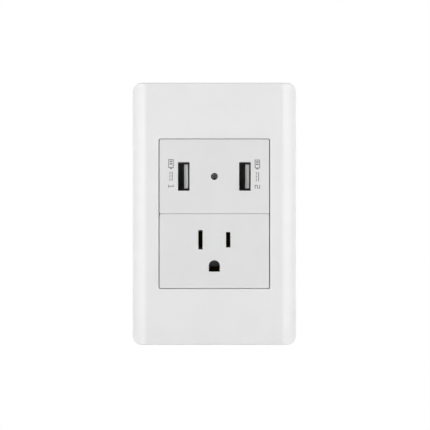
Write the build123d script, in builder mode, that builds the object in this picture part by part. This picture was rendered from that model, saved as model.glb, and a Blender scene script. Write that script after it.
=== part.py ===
from build123d import *
from math import atan2, pi, tan
import os

# Wall socket with a twin USB charger above a grounded mains outlet, on one cover plate.
# Millimetres. X runs right and Z up across the front, and Y runs into the wall. The origin is the
# middle of the plate on the wall's surface. A reach is a distance out of the wall, against Y, so a
# negative reach lies inside the wall box.

# Cover plate: the strip is the curved band down each long side
PLATE_WIDTH = 75.0
PLATE_HEIGHT = 120.0
PLATE_REACH = 8.5
PLATE_CORNER = 4.2
PLATE_WALL = 2.0
STRIP_WIDTH = 6.4
STRIP_DROP = 4.0
STRIP_CROWN = 0.3
STRIP_BLEND = 4.5
EDGE_BLEND = 2.0
END_ROUND = 0.6
INNER_ROUND = 0.4
LIP_WALL = 1.4
LIP_CLEARANCE = 0.1

# Hooks that hold the cover on the frame
HOOK_WIDTH = 8.0
HOOK_SPACING = 40.0
HOOK_WALL = 1.5
HOOK_BITE = 0.9
HOOK_NOSE = 0.7
HOOK_CLEARANCE = 0.15

# Module fronts, two in the plate's window
MODULE_WIDTH = 50.2
MODULE_HEIGHT = 34.1
MODULE_CORNER = 0.6
MODULE_SEAM = 0.1
WINDOW_SIDE_GAP = 0.4
WINDOW_END_GAP = 0.25
FACE_PROUD = 0.3
FACE_WALL = 1.8
FACE_ROUND = 0.3
SKIRT_WALL = 1.2

# Module housings behind the fronts
FLANGE_OVERHANG = 2.4
BODY_WALL = 1.6
BODY_ROUND = 0.8
COLLAR_GAP = 1.0
COLLAR_FIT = 0.15
SNAP_WIDTH = 7.0
SNAP_HEIGHT = 1.2
SNAP_BITE = 0.7
SNAP_CLEARANCE = 0.15
LUG_WIDTH = 10.0
LUG_BITE = 1.2
LUG_NOSE = 0.8
LUG_LENGTH = 5.0
LUG_CLEARANCE = 0.1

# Mounting frame
FRAME_SIDE_GAP = 1.5
FRAME_END_GAP = 3.0
FRAME_CORNER = 3.0
FRAME_FRONT = 3.0
FRAME_WALL = 1.8
FRAME_CLEARANCE = 0.3
SCREW_SPACING = 83.3
SCREW_SLOT_WIDTH = 4.2
SCREW_SLOT_LENGTH = 6.6
SCREW_PAD_WALL = 2.2
RIB_WIDTH = 1.6
RIB_HEIGHT = 1.5

# USB ports
PORT_SPACING = 28.0
PORT_SIDE_GAP = 0.11
PORT_END_GAP = 0.3
PORT_CORNER = 0.3
SHELL_INNER_WIDTH = 5.12
SHELL_INNER_HEIGHT = 12.5
SHELL_WALL = 0.3
SHELL_CORNER = 0.5
SHELL_STAND = 13.7
SHELL_DEPTH = 8.88
SHELL_CLEARANCE = 0.1
SHELL_TAIL_WIDTH = 2.0
FINGER_WIDTH = 1.8
FINGER_LENGTH = 4.4
FINGER_SETBACK = 1.6
FINGER_SPACING = 6.4
FINGER_BEND = 0.35
FINGER_TIP = 1.5
FINGER_SLIT = 0.3
TONGUE_THICKNESS = 1.84
TONGUE_END_GAP = 0.7
TONGUE_SETBACK = 0.5
TONGUE_SIDE_GAP = 0.54
TONGUE_CHAMFER = 0.2
TONGUE_FIT = 0.05
PIN_OFFSETS = (-3.5, -1.0, 1.0, 3.5)
PIN_WIDTH = 1.0
PIN_THICKNESS = 0.3
PIN_PROUD = 0.1
PIN_SETBACK = 1.4
PIN_FIT = 0.05

# Indicator lamp
LAMP_DIAMETER = 3.0
LAMP_FIT = 0.1
LAMP_RIM = 0.4
LAMP_FLANGE_HEIGHT = 1.0
LAMP_HEIGHT = 5.3
LAMP_SETBACK = 0.4
LAMP_COLLAR_WALL = 1.2
LAMP_LEAD = 0.5
LAMP_LEAD_SPACING = 2.54

# Charger board and what is soldered to it
REAR_GAP = 2.5
LABEL_WIDTH = 26.0
LABEL_HEIGHT = 11.0
LABEL_DROP = 7.0
LABEL_DEPTH = 0.4
BOARD_THICKNESS = 1.6
BOARD_FIT = 0.3
BOARD_HOLE_FIT = 0.25
PART_EDGE_GAP = 1.2
PART_GAP = 0.5
PILLAR_SIZE = 3.5
POST_DIAMETER = 3.0
CORE_LENGTH = 16.0
CORE_HEIGHT = 13.0
CORE_DEPTH = 6.0
CORE_LEG = 4.0
CORE_RIM = 2.2
CORE_DROP = 5.0
CORE_LIFT = 0.5
BOBBIN_FIT = 0.1
BOBBIN_WALL = 0.7
BOBBIN_FLANGE = 0.8
BOBBIN_SIDE = 2.4
WINDING_THICKNESS = 1.1
INPUT_CAN_DIAMETER = 8.0
INPUT_CAN_HEIGHT = 12.5
OUTPUT_CAN_DIAMETER = 6.3
OUTPUT_CAN_HEIGHT = 11.0
CAN_ROUND = 0.5
CAN_GROOVE_HEIGHT = 1.6
CAN_GROOVE_DEPTH = 0.35
CAN_GROOVE_WIDTH = 0.8
CHOKE_DIAMETER = 6.5
CHOKE_WAIST = 4.6
CHOKE_HEIGHT = 7.0
CHOKE_RIM = 1.0
FUSE_DIAMETER = 3.0
FUSE_LENGTH = 8.0
SAFETY_DISC_DIAMETER = 7.0
SAFETY_DISC_THICKNESS = 3.4
RECTIFIER_WIDTH = 4.7
RECTIFIER_LENGTH = 4.0
RECTIFIER_HEIGHT = 2.6
CHIP_WIDTH = 3.9
CHIP_LENGTH = 4.9
CHIP_HEIGHT = 1.6

# Wire terminals, with a clamp plate under each screw's head
CLAMP_SIZE = 7.0
CLAMP_THICKNESS = 1.0
POCKET_GAP = 0.5
POCKET_WALL = 1.2
WIRE_NOTCH = 4.0
TERMINAL_SCREW = 3.5
TERMINAL_HEAD = 6.2
TERMINAL_HEAD_HEIGHT = 2.2
TERMINAL_SHANK = 4.2
DRIVE_LENGTH = 4.2
DRIVE_WIDTH = 0.9
DRIVE_DEPTH = 1.1
HEAD_ROUND = 0.5
THREAD_CLEARANCE = 0.05
HOLE_CLEARANCE = 0.25
POCKET_SIDE_GAP = 2.0
POCKET_TOP_GAP = 1.5
USB_POCKET_DEPTH = 7.0
LEG_WIDTH = 3.0

# Mains outlet
BLADE_SPACING = 12.7
BLADE_RISE = 5.2
BLADE_SLOT_WIDTH = 2.0
NEUTRAL_SLOT_HEIGHT = 8.9
LINE_SLOT_HEIGHT = 7.0
GROUND_DROP = 11.9
GROUND_HOLE_WIDTH = 5.1
GROUND_HOLE_HEIGHT = 5.2
BLADE_DEPTH = 20.3
STRIP_THICKNESS = 0.8
CLIP_BEND = 0.9
CLIP_TOP_GAP = 3.0
CLIP_PINCH_DROP = 3.2
BLADE_CLIP_WIDTH = 6.0
BLADE_CLIP_MOUTH = 3.2
BLADE_CLIP_GRIP = 1.2
BLADE_CLIP_FOOT = 2.6
GROUND_CLIP_WIDTH = 5.0
GROUND_CLIP_MOUTH = 6.0
GROUND_CLIP_GRIP = 4.3
GROUND_CLIP_FOOT = 5.0
STRAP_WIDTH = 5.6
STRAP_BEARING = 1.4
STRAP_GAP = 0.2
CHAMBER_GAP = 0.4
CHAMBER_WALL = 1.0
BASE_FLOOR = 2.0
HOOD_HEIGHT = 5.7
BASE_SCREW = 2.5
BASE_SCREW_HEAD = 4.2
BASE_SCREW_HEAD_HEIGHT = 1.6
BASE_POST = 4.2
BASE_POST_HEIGHT = 12.3
BASE_POST_GAP = 0.15
BASE_SCREW_TIP_ROOM = 0.8

# Places that follow from those sizes
usb_z = (MODULE_HEIGHT + MODULE_SEAM) / 2
outlet_z = -usb_z
window_width = MODULE_WIDTH + 2 * WINDOW_SIDE_GAP
window_height = 2 * MODULE_HEIGHT + MODULE_SEAM + 2 * WINDOW_END_GAP
face_front = PLATE_REACH + FACE_PROUD
face_back = face_front - FACE_WALL
frame_width = PLATE_WIDTH - 2 * (PLATE_WALL + FRAME_SIDE_GAP)
frame_height = PLATE_HEIGHT - 2 * (PLATE_WALL + FRAME_END_GAP)
frame_back = FRAME_FRONT - FRAME_WALL
collar_top = face_back - COLLAR_GAP
body_width = MODULE_WIDTH - 2 * FLANGE_OVERHANG
body_height = MODULE_HEIGHT - 2 * SKIRT_WALL - 2 * COLLAR_FIT
collar_width = MODULE_WIDTH - 2 * SKIRT_WALL - 2 * COLLAR_FIT
cavity_width = body_width - 2 * BODY_WALL
cavity_height = body_height - 2 * BODY_WALL
snap_reach = (FRAME_FRONT + collar_top) / 2

port_places = ((-PORT_SPACING / 2, 0), (PORT_SPACING / 2, 0))
shell_mouth = face_back - SHELL_CLEARANCE
board_front = shell_mouth - SHELL_STAND
board_back = board_front - BOARD_THICKNESS
socket_floor = shell_mouth - SHELL_DEPTH
lamp_hole = LAMP_DIAMETER + 2 * LAMP_FIT
lamp_tip = face_front - LAMP_SETBACK
lamp_seat = lamp_tip - LAMP_HEIGHT
lamp_shoulder = lamp_seat + LAMP_FLANGE_HEIGHT
corner_places = [
    (side * (cavity_width - PILLAR_SIZE) / 2, end * (cavity_height - PILLAR_SIZE) / 2)
    for side in (-1, 1)
    for end in (-1, 1)
]

pocket_size = CLAMP_SIZE + 2 * POCKET_GAP
pocket_outside = pocket_size + 2 * POCKET_WALL
usb_back = board_back - CORE_LIFT - CORE_HEIGHT - REAR_GAP - BODY_WALL
usb_pocket_floor = usb_back + USB_POCKET_DEPTH
usb_terminal_x = (body_width - pocket_outside) / 2 - POCKET_SIDE_GAP
usb_terminal_rise = (body_height - pocket_outside) / 2 - POCKET_TOP_GAP
usb_terminal_places = [(side * usb_terminal_x, usb_terminal_rise) for side in (-1, 1)]
leg_x = usb_terminal_x - (CLAMP_SIZE - STRIP_THICKNESS) / 2
leg_places = [(side * leg_x, usb_terminal_rise) for side in (-1, 1)]

blade_z = outlet_z + BLADE_RISE
ground_z = blade_z - GROUND_DROP
base_floor = face_front - BLADE_DEPTH - STRIP_THICKNESS
base_back = base_floor - BASE_FLOOR
hood_back = base_back - HOOD_HEIGHT
clip_top = face_back - CLIP_TOP_GAP
strap_end = pocket_size / 2 + STRAP_BEARING
outlet_terminal_x = cavity_width / 2 - strap_end - STRAP_GAP
outlet_terminals = {
    "neutral": (-outlet_terminal_x, blade_z),
    "line": (outlet_terminal_x, blade_z),
    "ground": (outlet_terminal_x, ground_z),
}
base_screw_rise = (cavity_height - BASE_POST) / 2 - BASE_POST_GAP
ground_chamber = GROUND_CLIP_MOUTH + 2 * (STRIP_THICKNESS + CHAMBER_GAP + CHAMBER_WALL)
base_screw_x = (ground_chamber + BASE_POST) / 2 + BASE_POST_GAP
base_screw_places = ((0, base_screw_rise), (-base_screw_x, -base_screw_rise))
base_post_top = base_floor + BASE_POST_HEIGHT


def facing(reach, z=0.0):
    """A sketch plane parallel to the wall: sketch x is X, and sketch y is Z from that height."""
    return Plane(origin=(0, -reach, z), x_dir=(1, 0, 0), z_dir=(0, -1, 0))


def level(z):
    """A sketch plane across the part at a height: sketch x is X, and sketch y is the reach."""
    return Plane(origin=(0, 0, z), x_dir=(1, 0, 0), z_dir=(0, 0, -1))


def upright(x):
    """A sketch plane along the part: sketch x is Z, and sketch y is the reach."""
    return Plane(origin=(x, 0, 0), x_dir=(0, 0, 1), z_dir=(1, 0, 0))


def finish(piece, name):
    """Labels a finished piece and writes it out under its own name."""
    piece.part.label = name
    export_step(piece.part, f"parts/{name}.step")


def plate_form(inset, strip_blend, edge_blend, end_round):
    """The cover's outer form, or with an inset its hollow, as a closed solid. The strip's bends step in
    with the inset, so that the wall keeps one thickness."""
    half = PLATE_WIDTH / 2 - inset
    top = PLATE_REACH - inset
    slope = atan2(STRIP_DROP, STRIP_WIDTH)
    strip_width = STRIP_WIDTH - inset * (1 - tan(slope / 2))
    strip_drop = STRIP_DROP - inset * (1 - tan(pi / 4 - slope / 2))
    strip_crown = STRIP_CROWN * (strip_width / STRIP_WIDTH) ** 2
    with BuildPart() as form:
        with BuildSketch(level(0)) as section:
            with BuildLine():
                Line((0, top), (0, 0))
                Line((0, 0), (half, 0))
                Line((half, 0), (half, top - strip_drop))
                SagittaArc((half, top - strip_drop), (half - strip_width, top), -strip_crown)
                Line((half - strip_width, top), (0, top))
            make_face()
            mirror(about=Plane.YZ)
            creases = section.vertices().group_by(Axis.Y)[-1]
            fillet(creases.filter_by(lambda corner: abs(corner.X) > half / 2), radius=strip_blend)
            fillet(section.vertices().group_by(Axis.Y)[1], radius=edge_blend)
        extrude(amount=PLATE_HEIGHT / 2 - inset, both=True)
        with BuildSketch(facing(0)):
            RectangleRounded(PLATE_WIDTH - 2 * inset, PLATE_HEIGHT - 2 * inset, PLATE_CORNER - inset)
        extrude(amount=PLATE_REACH, mode=Mode.INTERSECT)
        with BuildSketch(upright(0)) as profile:
            with Locations((0, top / 2)):
                Rectangle(PLATE_HEIGHT - 2 * inset, top)
            fillet(profile.vertices().group_by(Axis.Y)[-1], radius=end_round)
        extrude(amount=half, both=True, mode=Mode.INTERSECT)
    return form.part


def face_form(z):
    """A module's front before its openings are cut: the face, its skirt and the snap windows."""
    with BuildPart() as form:
        with BuildSketch(facing(FRAME_FRONT, z)):
            RectangleRounded(MODULE_WIDTH, MODULE_HEIGHT, MODULE_CORNER)
        extrude(amount=face_front - FRAME_FRONT)
        fillet(form.faces().sort_by(Axis.Y)[0].edges(), radius=FACE_ROUND)
        with BuildSketch(facing(FRAME_FRONT, z)):
            Rectangle(MODULE_WIDTH - 2 * SKIRT_WALL, MODULE_HEIGHT - 2 * SKIRT_WALL)
        extrude(amount=face_back - FRAME_FRONT, mode=Mode.SUBTRACT)
        with BuildSketch(level(z)):
            with Locations((0, snap_reach)):
                Rectangle(MODULE_WIDTH, SNAP_HEIGHT + 2 * SNAP_CLEARANCE)
        extrude(amount=SNAP_WIDTH / 2 + SNAP_CLEARANCE, both=True, mode=Mode.SUBTRACT)
    return form.part


def body_form(z, back, floor):
    """A module's rear housing, open to the front: its body goes through the frame, its collar fills
    the front's skirt, its bumps snap into the skirt and its lugs latch behind the frame."""
    side = body_width / 2
    collar_side = collar_width / 2
    catch = frame_back - LUG_CLEARANCE
    with BuildPart() as form:
        with BuildSketch(facing(back, z)):
            Rectangle(body_width, body_height)
        extrude(amount=FRAME_FRONT - back)
        fillet(form.edges().filter_by(Axis.Y), radius=BODY_ROUND)
        fillet(form.faces().sort_by(Axis.Y)[-1].edges(), radius=BODY_ROUND)
        with BuildSketch(facing(FRAME_FRONT, z)):
            Rectangle(collar_width, body_height)
        extrude(amount=collar_top - FRAME_FRONT)
        with BuildSketch(level(z)):
            Polygon(
                (collar_side, snap_reach - SNAP_HEIGHT / 2),
                (collar_side + SNAP_BITE, snap_reach - SNAP_HEIGHT / 2),
                (collar_side, snap_reach + SNAP_HEIGHT / 2),
                align=None,
            )
            mirror(about=Plane.YZ)
        extrude(amount=SNAP_WIDTH / 2, both=True)
        with BuildSketch(level(z)):
            Polygon(
                (side, catch),
                (side + LUG_BITE, catch),
                (side + LUG_BITE, catch - LUG_NOSE),
                (side, catch - LUG_LENGTH),
                align=None,
            )
            mirror(about=Plane.YZ)
        extrude(amount=LUG_WIDTH / 2, both=True)
        with BuildSketch(facing(floor, z)):
            Rectangle(cavity_width, cavity_height)
        extrude(amount=collar_top - floor, mode=Mode.SUBTRACT)
    return form.part


def terminal_screw(x, z, seat):
    """A pan head screw with a cross recess, driven from behind, its head seated on the clamp plate."""
    with BuildPart() as screw:
        with BuildSketch(facing(seat, z)):
            with Locations((x, 0)):
                Circle(TERMINAL_HEAD / 2)
        extrude(amount=-TERMINAL_HEAD_HEIGHT)
        fillet(screw.faces().sort_by(Axis.Y)[-1].edges(), radius=HEAD_ROUND)
        with BuildSketch(facing(seat, z)):
            with Locations((x, 0)):
                Circle(TERMINAL_SCREW / 2)
        extrude(amount=TERMINAL_SHANK)
        with BuildSketch(facing(seat - TERMINAL_HEAD_HEIGHT, z)):
            with Locations((x, 0)):
                Rectangle(DRIVE_LENGTH, DRIVE_WIDTH)
                Rectangle(DRIVE_WIDTH, DRIVE_LENGTH)
        extrude(amount=DRIVE_DEPTH, mode=Mode.SUBTRACT)
    return screw.part


def clamp_plates(places, z, front):
    """The square clamp plates under the terminal screws' heads, on one plane."""
    with BuildPart() as plates:
        with BuildSketch(facing(front - CLAMP_THICKNESS, z)):
            with Locations(*places):
                Rectangle(CLAMP_SIZE, CLAMP_SIZE)
                Circle(TERMINAL_SCREW / 2 + HOLE_CLEARANCE, mode=Mode.SUBTRACT)
        extrude(amount=CLAMP_THICKNESS)
    return plates.part


def contact_strip(terminal, x, z, clip_width, mouth, grip, foot):
    """An outlet contact folded from one brass strip: a spring clip that grips the plug's blade or pin,
    and a strap along the base's floor to a threaded hole for the terminal screw."""
    terminal_x = outlet_terminals[terminal][0]
    side = 1 if terminal_x > x else -1
    bridge = base_floor + STRIP_THICKNESS / 2
    mouth_half = (mouth + STRIP_THICKNESS) / 2
    grip_half = (grip + STRIP_THICKNESS) / 2
    foot_half = (foot + STRIP_THICKNESS) / 2
    pinch = clip_top - CLIP_PINCH_DROP
    strap_start = x + side * (foot_half - CLIP_BEND)
    strap_stop = terminal_x + side * strap_end
    with BuildPart() as strip:
        with BuildSketch(level(z)):
            with BuildLine():
                FilletPolyline(
                    (x - mouth_half, clip_top),
                    (x - grip_half, pinch),
                    (x - foot_half, bridge),
                    (x + foot_half, bridge),
                    (x + grip_half, pinch),
                    (x + mouth_half, clip_top),
                    radius=CLIP_BEND,
                )
            trace(line_width=STRIP_THICKNESS)
        extrude(amount=clip_width / 2, both=True)
        with BuildSketch(facing(base_floor, z)):
            with Locations(((strap_start + strap_stop) / 2, 0)):
                Rectangle(abs(strap_stop - strap_start), STRAP_WIDTH)
            with Locations((terminal_x, 0)):
                Circle(TERMINAL_SCREW / 2 + THREAD_CLEARANCE, mode=Mode.SUBTRACT)
        extrude(amount=STRIP_THICKNESS)
    return strip


def can(diameter, height, places):
    """Electrolytic capacitors standing on the board's back: a can with a crimp groove near its foot."""
    groove = board_back - CAN_GROOVE_HEIGHT
    with BuildPart() as cans:
        with BuildSketch(facing(board_back, usb_z)):
            with Locations(*places):
                Circle(diameter / 2)
        extrude(amount=-height)
        fillet(cans.edges().filter_by(GeomType.CIRCLE), radius=CAN_ROUND)
        with BuildSketch(facing(groove, usb_z)):
            with Locations(*places):
                Circle(diameter / 2)
                Circle(diameter / 2 - CAN_GROOVE_DEPTH, mode=Mode.SUBTRACT)
        extrude(amount=-CAN_GROOVE_WIDTH, mode=Mode.SUBTRACT)
    return cans


def board_chip(width, length, height, place):
    """A moulded chip on the board's back."""
    with BuildPart() as chip:
        with BuildSketch(facing(board_back - height, usb_z)):
            with Locations(place):
                Rectangle(width, length)
        extrude(amount=height)
    return chip


os.makedirs("parts", exist_ok=True)

# Cover plate, hollow behind, with a lip round its window and four snap hooks
plate_outside = plate_form(0, STRIP_BLEND, EDGE_BLEND, END_ROUND)
plate_hollow = plate_form(PLATE_WALL, STRIP_BLEND - PLATE_WALL, INNER_ROUND, INNER_ROUND)
plate_inside = PLATE_REACH - PLATE_WALL
lip_back = FRAME_FRONT + LIP_CLEARANCE
hook_inner = frame_height / 2 + HOOK_CLEARANCE
hook_catch = frame_back - HOOK_CLEARANCE
with BuildPart() as cover_plate:
    add(plate_outside)
    add(plate_hollow, mode=Mode.SUBTRACT)
    with BuildSketch(facing(lip_back)):
        Rectangle(window_width + 2 * LIP_WALL, window_height + 2 * LIP_WALL)
    extrude(amount=plate_inside - lip_back)
    with BuildSketch(facing(0)):
        RectangleRounded(window_width, window_height, MODULE_CORNER + WINDOW_END_GAP)
    extrude(amount=PLATE_REACH, mode=Mode.SUBTRACT)
    for hook_x in (-HOOK_SPACING / 2, HOOK_SPACING / 2):
        with BuildSketch(upright(hook_x)):
            Polygon(
                (hook_inner, plate_inside),
                (hook_inner + HOOK_WALL, plate_inside),
                (hook_inner + HOOK_WALL, hook_catch - HOOK_NOSE),
                (hook_inner, hook_catch - HOOK_NOSE),
                (hook_inner - HOOK_BITE, hook_catch),
                (hook_inner, hook_catch),
                align=None,
            )
            mirror(about=Plane.YZ)
        extrude(amount=HOOK_WIDTH / 2, both=True)
finish(cover_plate, "cover_plate")

# Mounting frame: a moulded plate that is screwed to the wall box and carries everything else
screw_places = ((0, -SCREW_SPACING / 2), (0, SCREW_SPACING / 2))
rib_length = frame_height - 2 * FRAME_CORNER
back_rib_x = (frame_width - RIB_WIDTH) / 2
front_rib_x = (window_width / 2 + LIP_WALL + frame_width / 2) / 2
with BuildPart() as mounting_frame:
    with BuildSketch(facing(frame_back)):
        RectangleRounded(frame_width, frame_height, FRAME_CORNER)
    extrude(amount=FRAME_WALL)
    with BuildSketch(facing(0)):
        with Locations(*screw_places):
            SlotOverall(
                SCREW_SLOT_LENGTH + 2 * SCREW_PAD_WALL,
                SCREW_SLOT_WIDTH + 2 * SCREW_PAD_WALL,
                rotation=90,
            )
        with Locations((-back_rib_x, 0), (back_rib_x, 0)):
            Rectangle(RIB_WIDTH, rib_length)
    extrude(amount=frame_back)
    with BuildSketch(facing(FRAME_FRONT)):
        with Locations((-front_rib_x, 0), (front_rib_x, 0)):
            Rectangle(RIB_WIDTH, rib_length)
    extrude(amount=RIB_HEIGHT)
    with BuildSketch(facing(0)):
        with Locations((0, usb_z), (0, outlet_z)):
            Rectangle(body_width + 2 * FRAME_CLEARANCE, body_height + 2 * FRAME_CLEARANCE)
        with Locations(*screw_places):
            SlotOverall(SCREW_SLOT_LENGTH, SCREW_SLOT_WIDTH, rotation=90)
    extrude(amount=FRAME_FRONT, mode=Mode.SUBTRACT)
finish(mounting_frame, "mounting_frame")

# USB module's front, with posts that hold the board down and a collar round the lamp
usb_front = face_form(usb_z)
with BuildPart() as usb_face:
    add(usb_front)
    with BuildSketch(facing(board_front, usb_z)):
        with Locations(*corner_places):
            Circle(POST_DIAMETER / 2)
    extrude(amount=face_back - board_front)
    with BuildSketch(facing(lamp_shoulder, usb_z)):
        Circle(lamp_hole / 2 + LAMP_COLLAR_WALL)
    extrude(amount=face_back - lamp_shoulder)
    with BuildSketch(facing(lamp_seat, usb_z)):
        Circle(lamp_hole / 2)
    extrude(amount=face_front - lamp_seat, mode=Mode.SUBTRACT)
    with BuildSketch(facing(face_back, usb_z)):
        with Locations(*port_places):
            RectangleRounded(
                SHELL_INNER_WIDTH + 2 * PORT_SIDE_GAP,
                SHELL_INNER_HEIGHT + 2 * PORT_END_GAP,
                PORT_CORNER,
            )
    extrude(amount=FACE_WALL, mode=Mode.SUBTRACT)
finish(usb_face, "usb_face")

# USB module's housing: pillars carry the board, two pockets open to the rear for the wires, and a
# shallow panel at the rear takes a label
usb_body = body_form(usb_z, usb_back, usb_back + BODY_WALL)
with BuildPart() as usb_housing:
    add(usb_body)
    with BuildSketch(facing(usb_back, usb_z)):
        with Locations(*corner_places):
            Rectangle(PILLAR_SIZE, PILLAR_SIZE)
    extrude(amount=board_back - usb_back)
    with BuildSketch(facing(usb_back, usb_z)):
        with Locations(*usb_terminal_places):
            Rectangle(pocket_outside, pocket_outside)
    extrude(amount=USB_POCKET_DEPTH + POCKET_WALL)
    with BuildSketch(facing(usb_back, usb_z)):
        with Locations(*usb_terminal_places):
            Rectangle(pocket_size, pocket_size)
    extrude(amount=USB_POCKET_DEPTH, mode=Mode.SUBTRACT)
    with BuildSketch(facing(usb_pocket_floor, usb_z)):
        with Locations(*usb_terminal_places):
            Circle(TERMINAL_SCREW / 2 + HOLE_CLEARANCE)
        with Locations(*leg_places):
            Rectangle(STRIP_THICKNESS + 2 * HOLE_CLEARANCE, LEG_WIDTH + 2 * HOLE_CLEARANCE)
    extrude(amount=POCKET_WALL, mode=Mode.SUBTRACT)
    with BuildSketch(facing(usb_back, usb_z - LABEL_DROP)):
        Rectangle(LABEL_WIDTH, LABEL_HEIGHT)
    extrude(amount=LABEL_DEPTH, mode=Mode.SUBTRACT)
finish(usb_housing, "usb_housing")

# Charger board, with a hole or slot for everything soldered through it
tongue_x = (SHELL_INNER_WIDTH - TONGUE_THICKNESS) / 2 - TONGUE_SIDE_GAP
pin_x = tongue_x - TONGUE_THICKNESS / 2 - PIN_PROUD + PIN_THICKNESS / 2
tail_z = SHELL_INNER_HEIGHT / 2 + SHELL_WALL / 2
lead_places = ((-LAMP_LEAD_SPACING / 2, 0), (LAMP_LEAD_SPACING / 2, 0))
with BuildPart() as charger_board:
    with BuildSketch(facing(board_back, usb_z)):
        Rectangle(cavity_width - 2 * BOARD_FIT, cavity_height - 2 * BOARD_FIT)
        for port_x, port_rise in port_places:
            with Locations(*[(port_x + pin_x, offset) for offset in PIN_OFFSETS]):
                Rectangle(
                    PIN_THICKNESS + 2 * BOARD_HOLE_FIT,
                    PIN_WIDTH + 2 * BOARD_HOLE_FIT,
                    mode=Mode.SUBTRACT,
                )
            with Locations((port_x, tail_z), (port_x, -tail_z)):
                Rectangle(
                    SHELL_TAIL_WIDTH + 2 * BOARD_HOLE_FIT,
                    SHELL_WALL + 2 * BOARD_HOLE_FIT,
                    mode=Mode.SUBTRACT,
                )
        with Locations(*lead_places):
            Circle(LAMP_LEAD / 2 + BOARD_HOLE_FIT, mode=Mode.SUBTRACT)
        with Locations(*leg_places):
            Rectangle(
                STRIP_THICKNESS + 2 * BOARD_HOLE_FIT,
                LEG_WIDTH + 2 * BOARD_HOLE_FIT,
                mode=Mode.SUBTRACT,
            )
    extrude(amount=BOARD_THICKNESS)
finish(charger_board, "charger_board")

# USB ports: a folded steel shell, the plastic tongue in it and the tongue's four contacts
shell_width = SHELL_INNER_WIDTH + 2 * SHELL_WALL
shell_height = SHELL_INNER_HEIGHT + 2 * SHELL_WALL
finger_x = (SHELL_INNER_WIDTH + SHELL_WALL) / 2
finger_root = shell_mouth - FINGER_SETBACK
finger_end = finger_root - FINGER_LENGTH
finger_bend = finger_end + FINGER_TIP
tongue_tip = shell_mouth - TONGUE_SETBACK
for port_name, (port_x, port_rise) in zip(("left", "right"), port_places):
    with BuildPart() as usb_shell:
        with BuildSketch(facing(board_front, usb_z)):
            with Locations((port_x, 0)):
                RectangleRounded(shell_width, shell_height, SHELL_CORNER)
                RectangleRounded(
                    SHELL_INNER_WIDTH,
                    SHELL_INNER_HEIGHT,
                    SHELL_CORNER - SHELL_WALL,
                    mode=Mode.SUBTRACT,
                )
        extrude(amount=SHELL_STAND)
        with BuildSketch(facing(board_back, usb_z)):
            with Locations((port_x, tail_z), (port_x, -tail_z)):
                Rectangle(SHELL_TAIL_WIDTH, SHELL_WALL)
        extrude(amount=BOARD_THICKNESS)
        for finger_rise in (-FINGER_SPACING / 2, FINGER_SPACING / 2):
            with BuildSketch(level(usb_z + finger_rise)):
                with Locations((port_x, (finger_root + finger_end - FINGER_SLIT) / 2)):
                    Rectangle(shell_width, FINGER_LENGTH + FINGER_SLIT)
            extrude(amount=FINGER_WIDTH / 2 + FINGER_SLIT, both=True, mode=Mode.SUBTRACT)
            for side in (-1, 1):
                with BuildSketch(level(usb_z + finger_rise)):
                    with BuildLine():
                        Polyline(
                            (port_x + side * finger_x, finger_root + SHELL_WALL),
                            (port_x + side * finger_x, finger_root),
                            (port_x + side * (finger_x - FINGER_BEND), finger_bend),
                            (port_x + side * finger_x, finger_end),
                        )
                    trace(line_width=SHELL_WALL)
                extrude(amount=FINGER_WIDTH / 2, both=True)
    finish(usb_shell, f"{port_name}_usb_shell")

    contact_x = port_x + pin_x
    contact_places = [(contact_x, offset) for offset in PIN_OFFSETS]
    pin_tip = tongue_tip - PIN_SETBACK
    with BuildPart() as usb_tongue:
        with BuildSketch(facing(board_front, usb_z)):
            with Locations((port_x, 0)):
                RectangleRounded(
                    SHELL_INNER_WIDTH - 2 * TONGUE_FIT,
                    SHELL_INNER_HEIGHT - 2 * TONGUE_FIT,
                    SHELL_CORNER - SHELL_WALL,
                )
        extrude(amount=socket_floor - board_front)
        with BuildSketch(facing(socket_floor, usb_z)):
            with Locations((port_x + tongue_x, 0)):
                Rectangle(TONGUE_THICKNESS, SHELL_INNER_HEIGHT - 2 * TONGUE_END_GAP)
        extrude(amount=tongue_tip - socket_floor)
        chamfer(usb_tongue.faces().sort_by(Axis.Y)[0].edges(), length=TONGUE_CHAMFER)
        with BuildSketch(facing(board_front, usb_z)):
            with Locations(*contact_places):
                Rectangle(PIN_THICKNESS, PIN_WIDTH + 2 * PIN_FIT)
        extrude(amount=pin_tip + PIN_FIT - board_front, mode=Mode.SUBTRACT)
    finish(usb_tongue, f"{port_name}_usb_tongue")

    with BuildPart() as usb_contacts:
        with BuildSketch(facing(board_back, usb_z)):
            with Locations(*contact_places):
                Rectangle(PIN_THICKNESS, PIN_WIDTH)
        extrude(amount=pin_tip - board_back)
    finish(usb_contacts, f"{port_name}_usb_contacts")

# Indicator lamp, seated against the front's collar, on two leads from the board
lamp_radius = LAMP_DIAMETER / 2
flange_radius = lamp_radius + LAMP_RIM
with BuildPart() as indicator_lamp:
    with BuildSketch(level(usb_z)):
        with BuildLine():
            Line((0, lamp_tip), (0, lamp_seat))
            Line((0, lamp_seat), (flange_radius, lamp_seat))
            Line((flange_radius, lamp_seat), (flange_radius, lamp_shoulder))
            Line((flange_radius, lamp_shoulder), (lamp_radius, lamp_shoulder))
            Line((lamp_radius, lamp_shoulder), (lamp_radius, lamp_tip - lamp_radius))
            RadiusArc((lamp_radius, lamp_tip - lamp_radius), (0, lamp_tip), -lamp_radius)
        make_face()
    revolve(axis=Axis((0, 0, usb_z), (0, 1, 0)))
finish(indicator_lamp, "indicator_lamp")

with BuildPart() as indicator_leads:
    with BuildSketch(facing(board_back, usb_z)):
        with Locations(*lead_places):
            Rectangle(LAMP_LEAD, LAMP_LEAD)
    extrude(amount=lamp_seat - board_back)
finish(indicator_leads, "indicator_leads")

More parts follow.
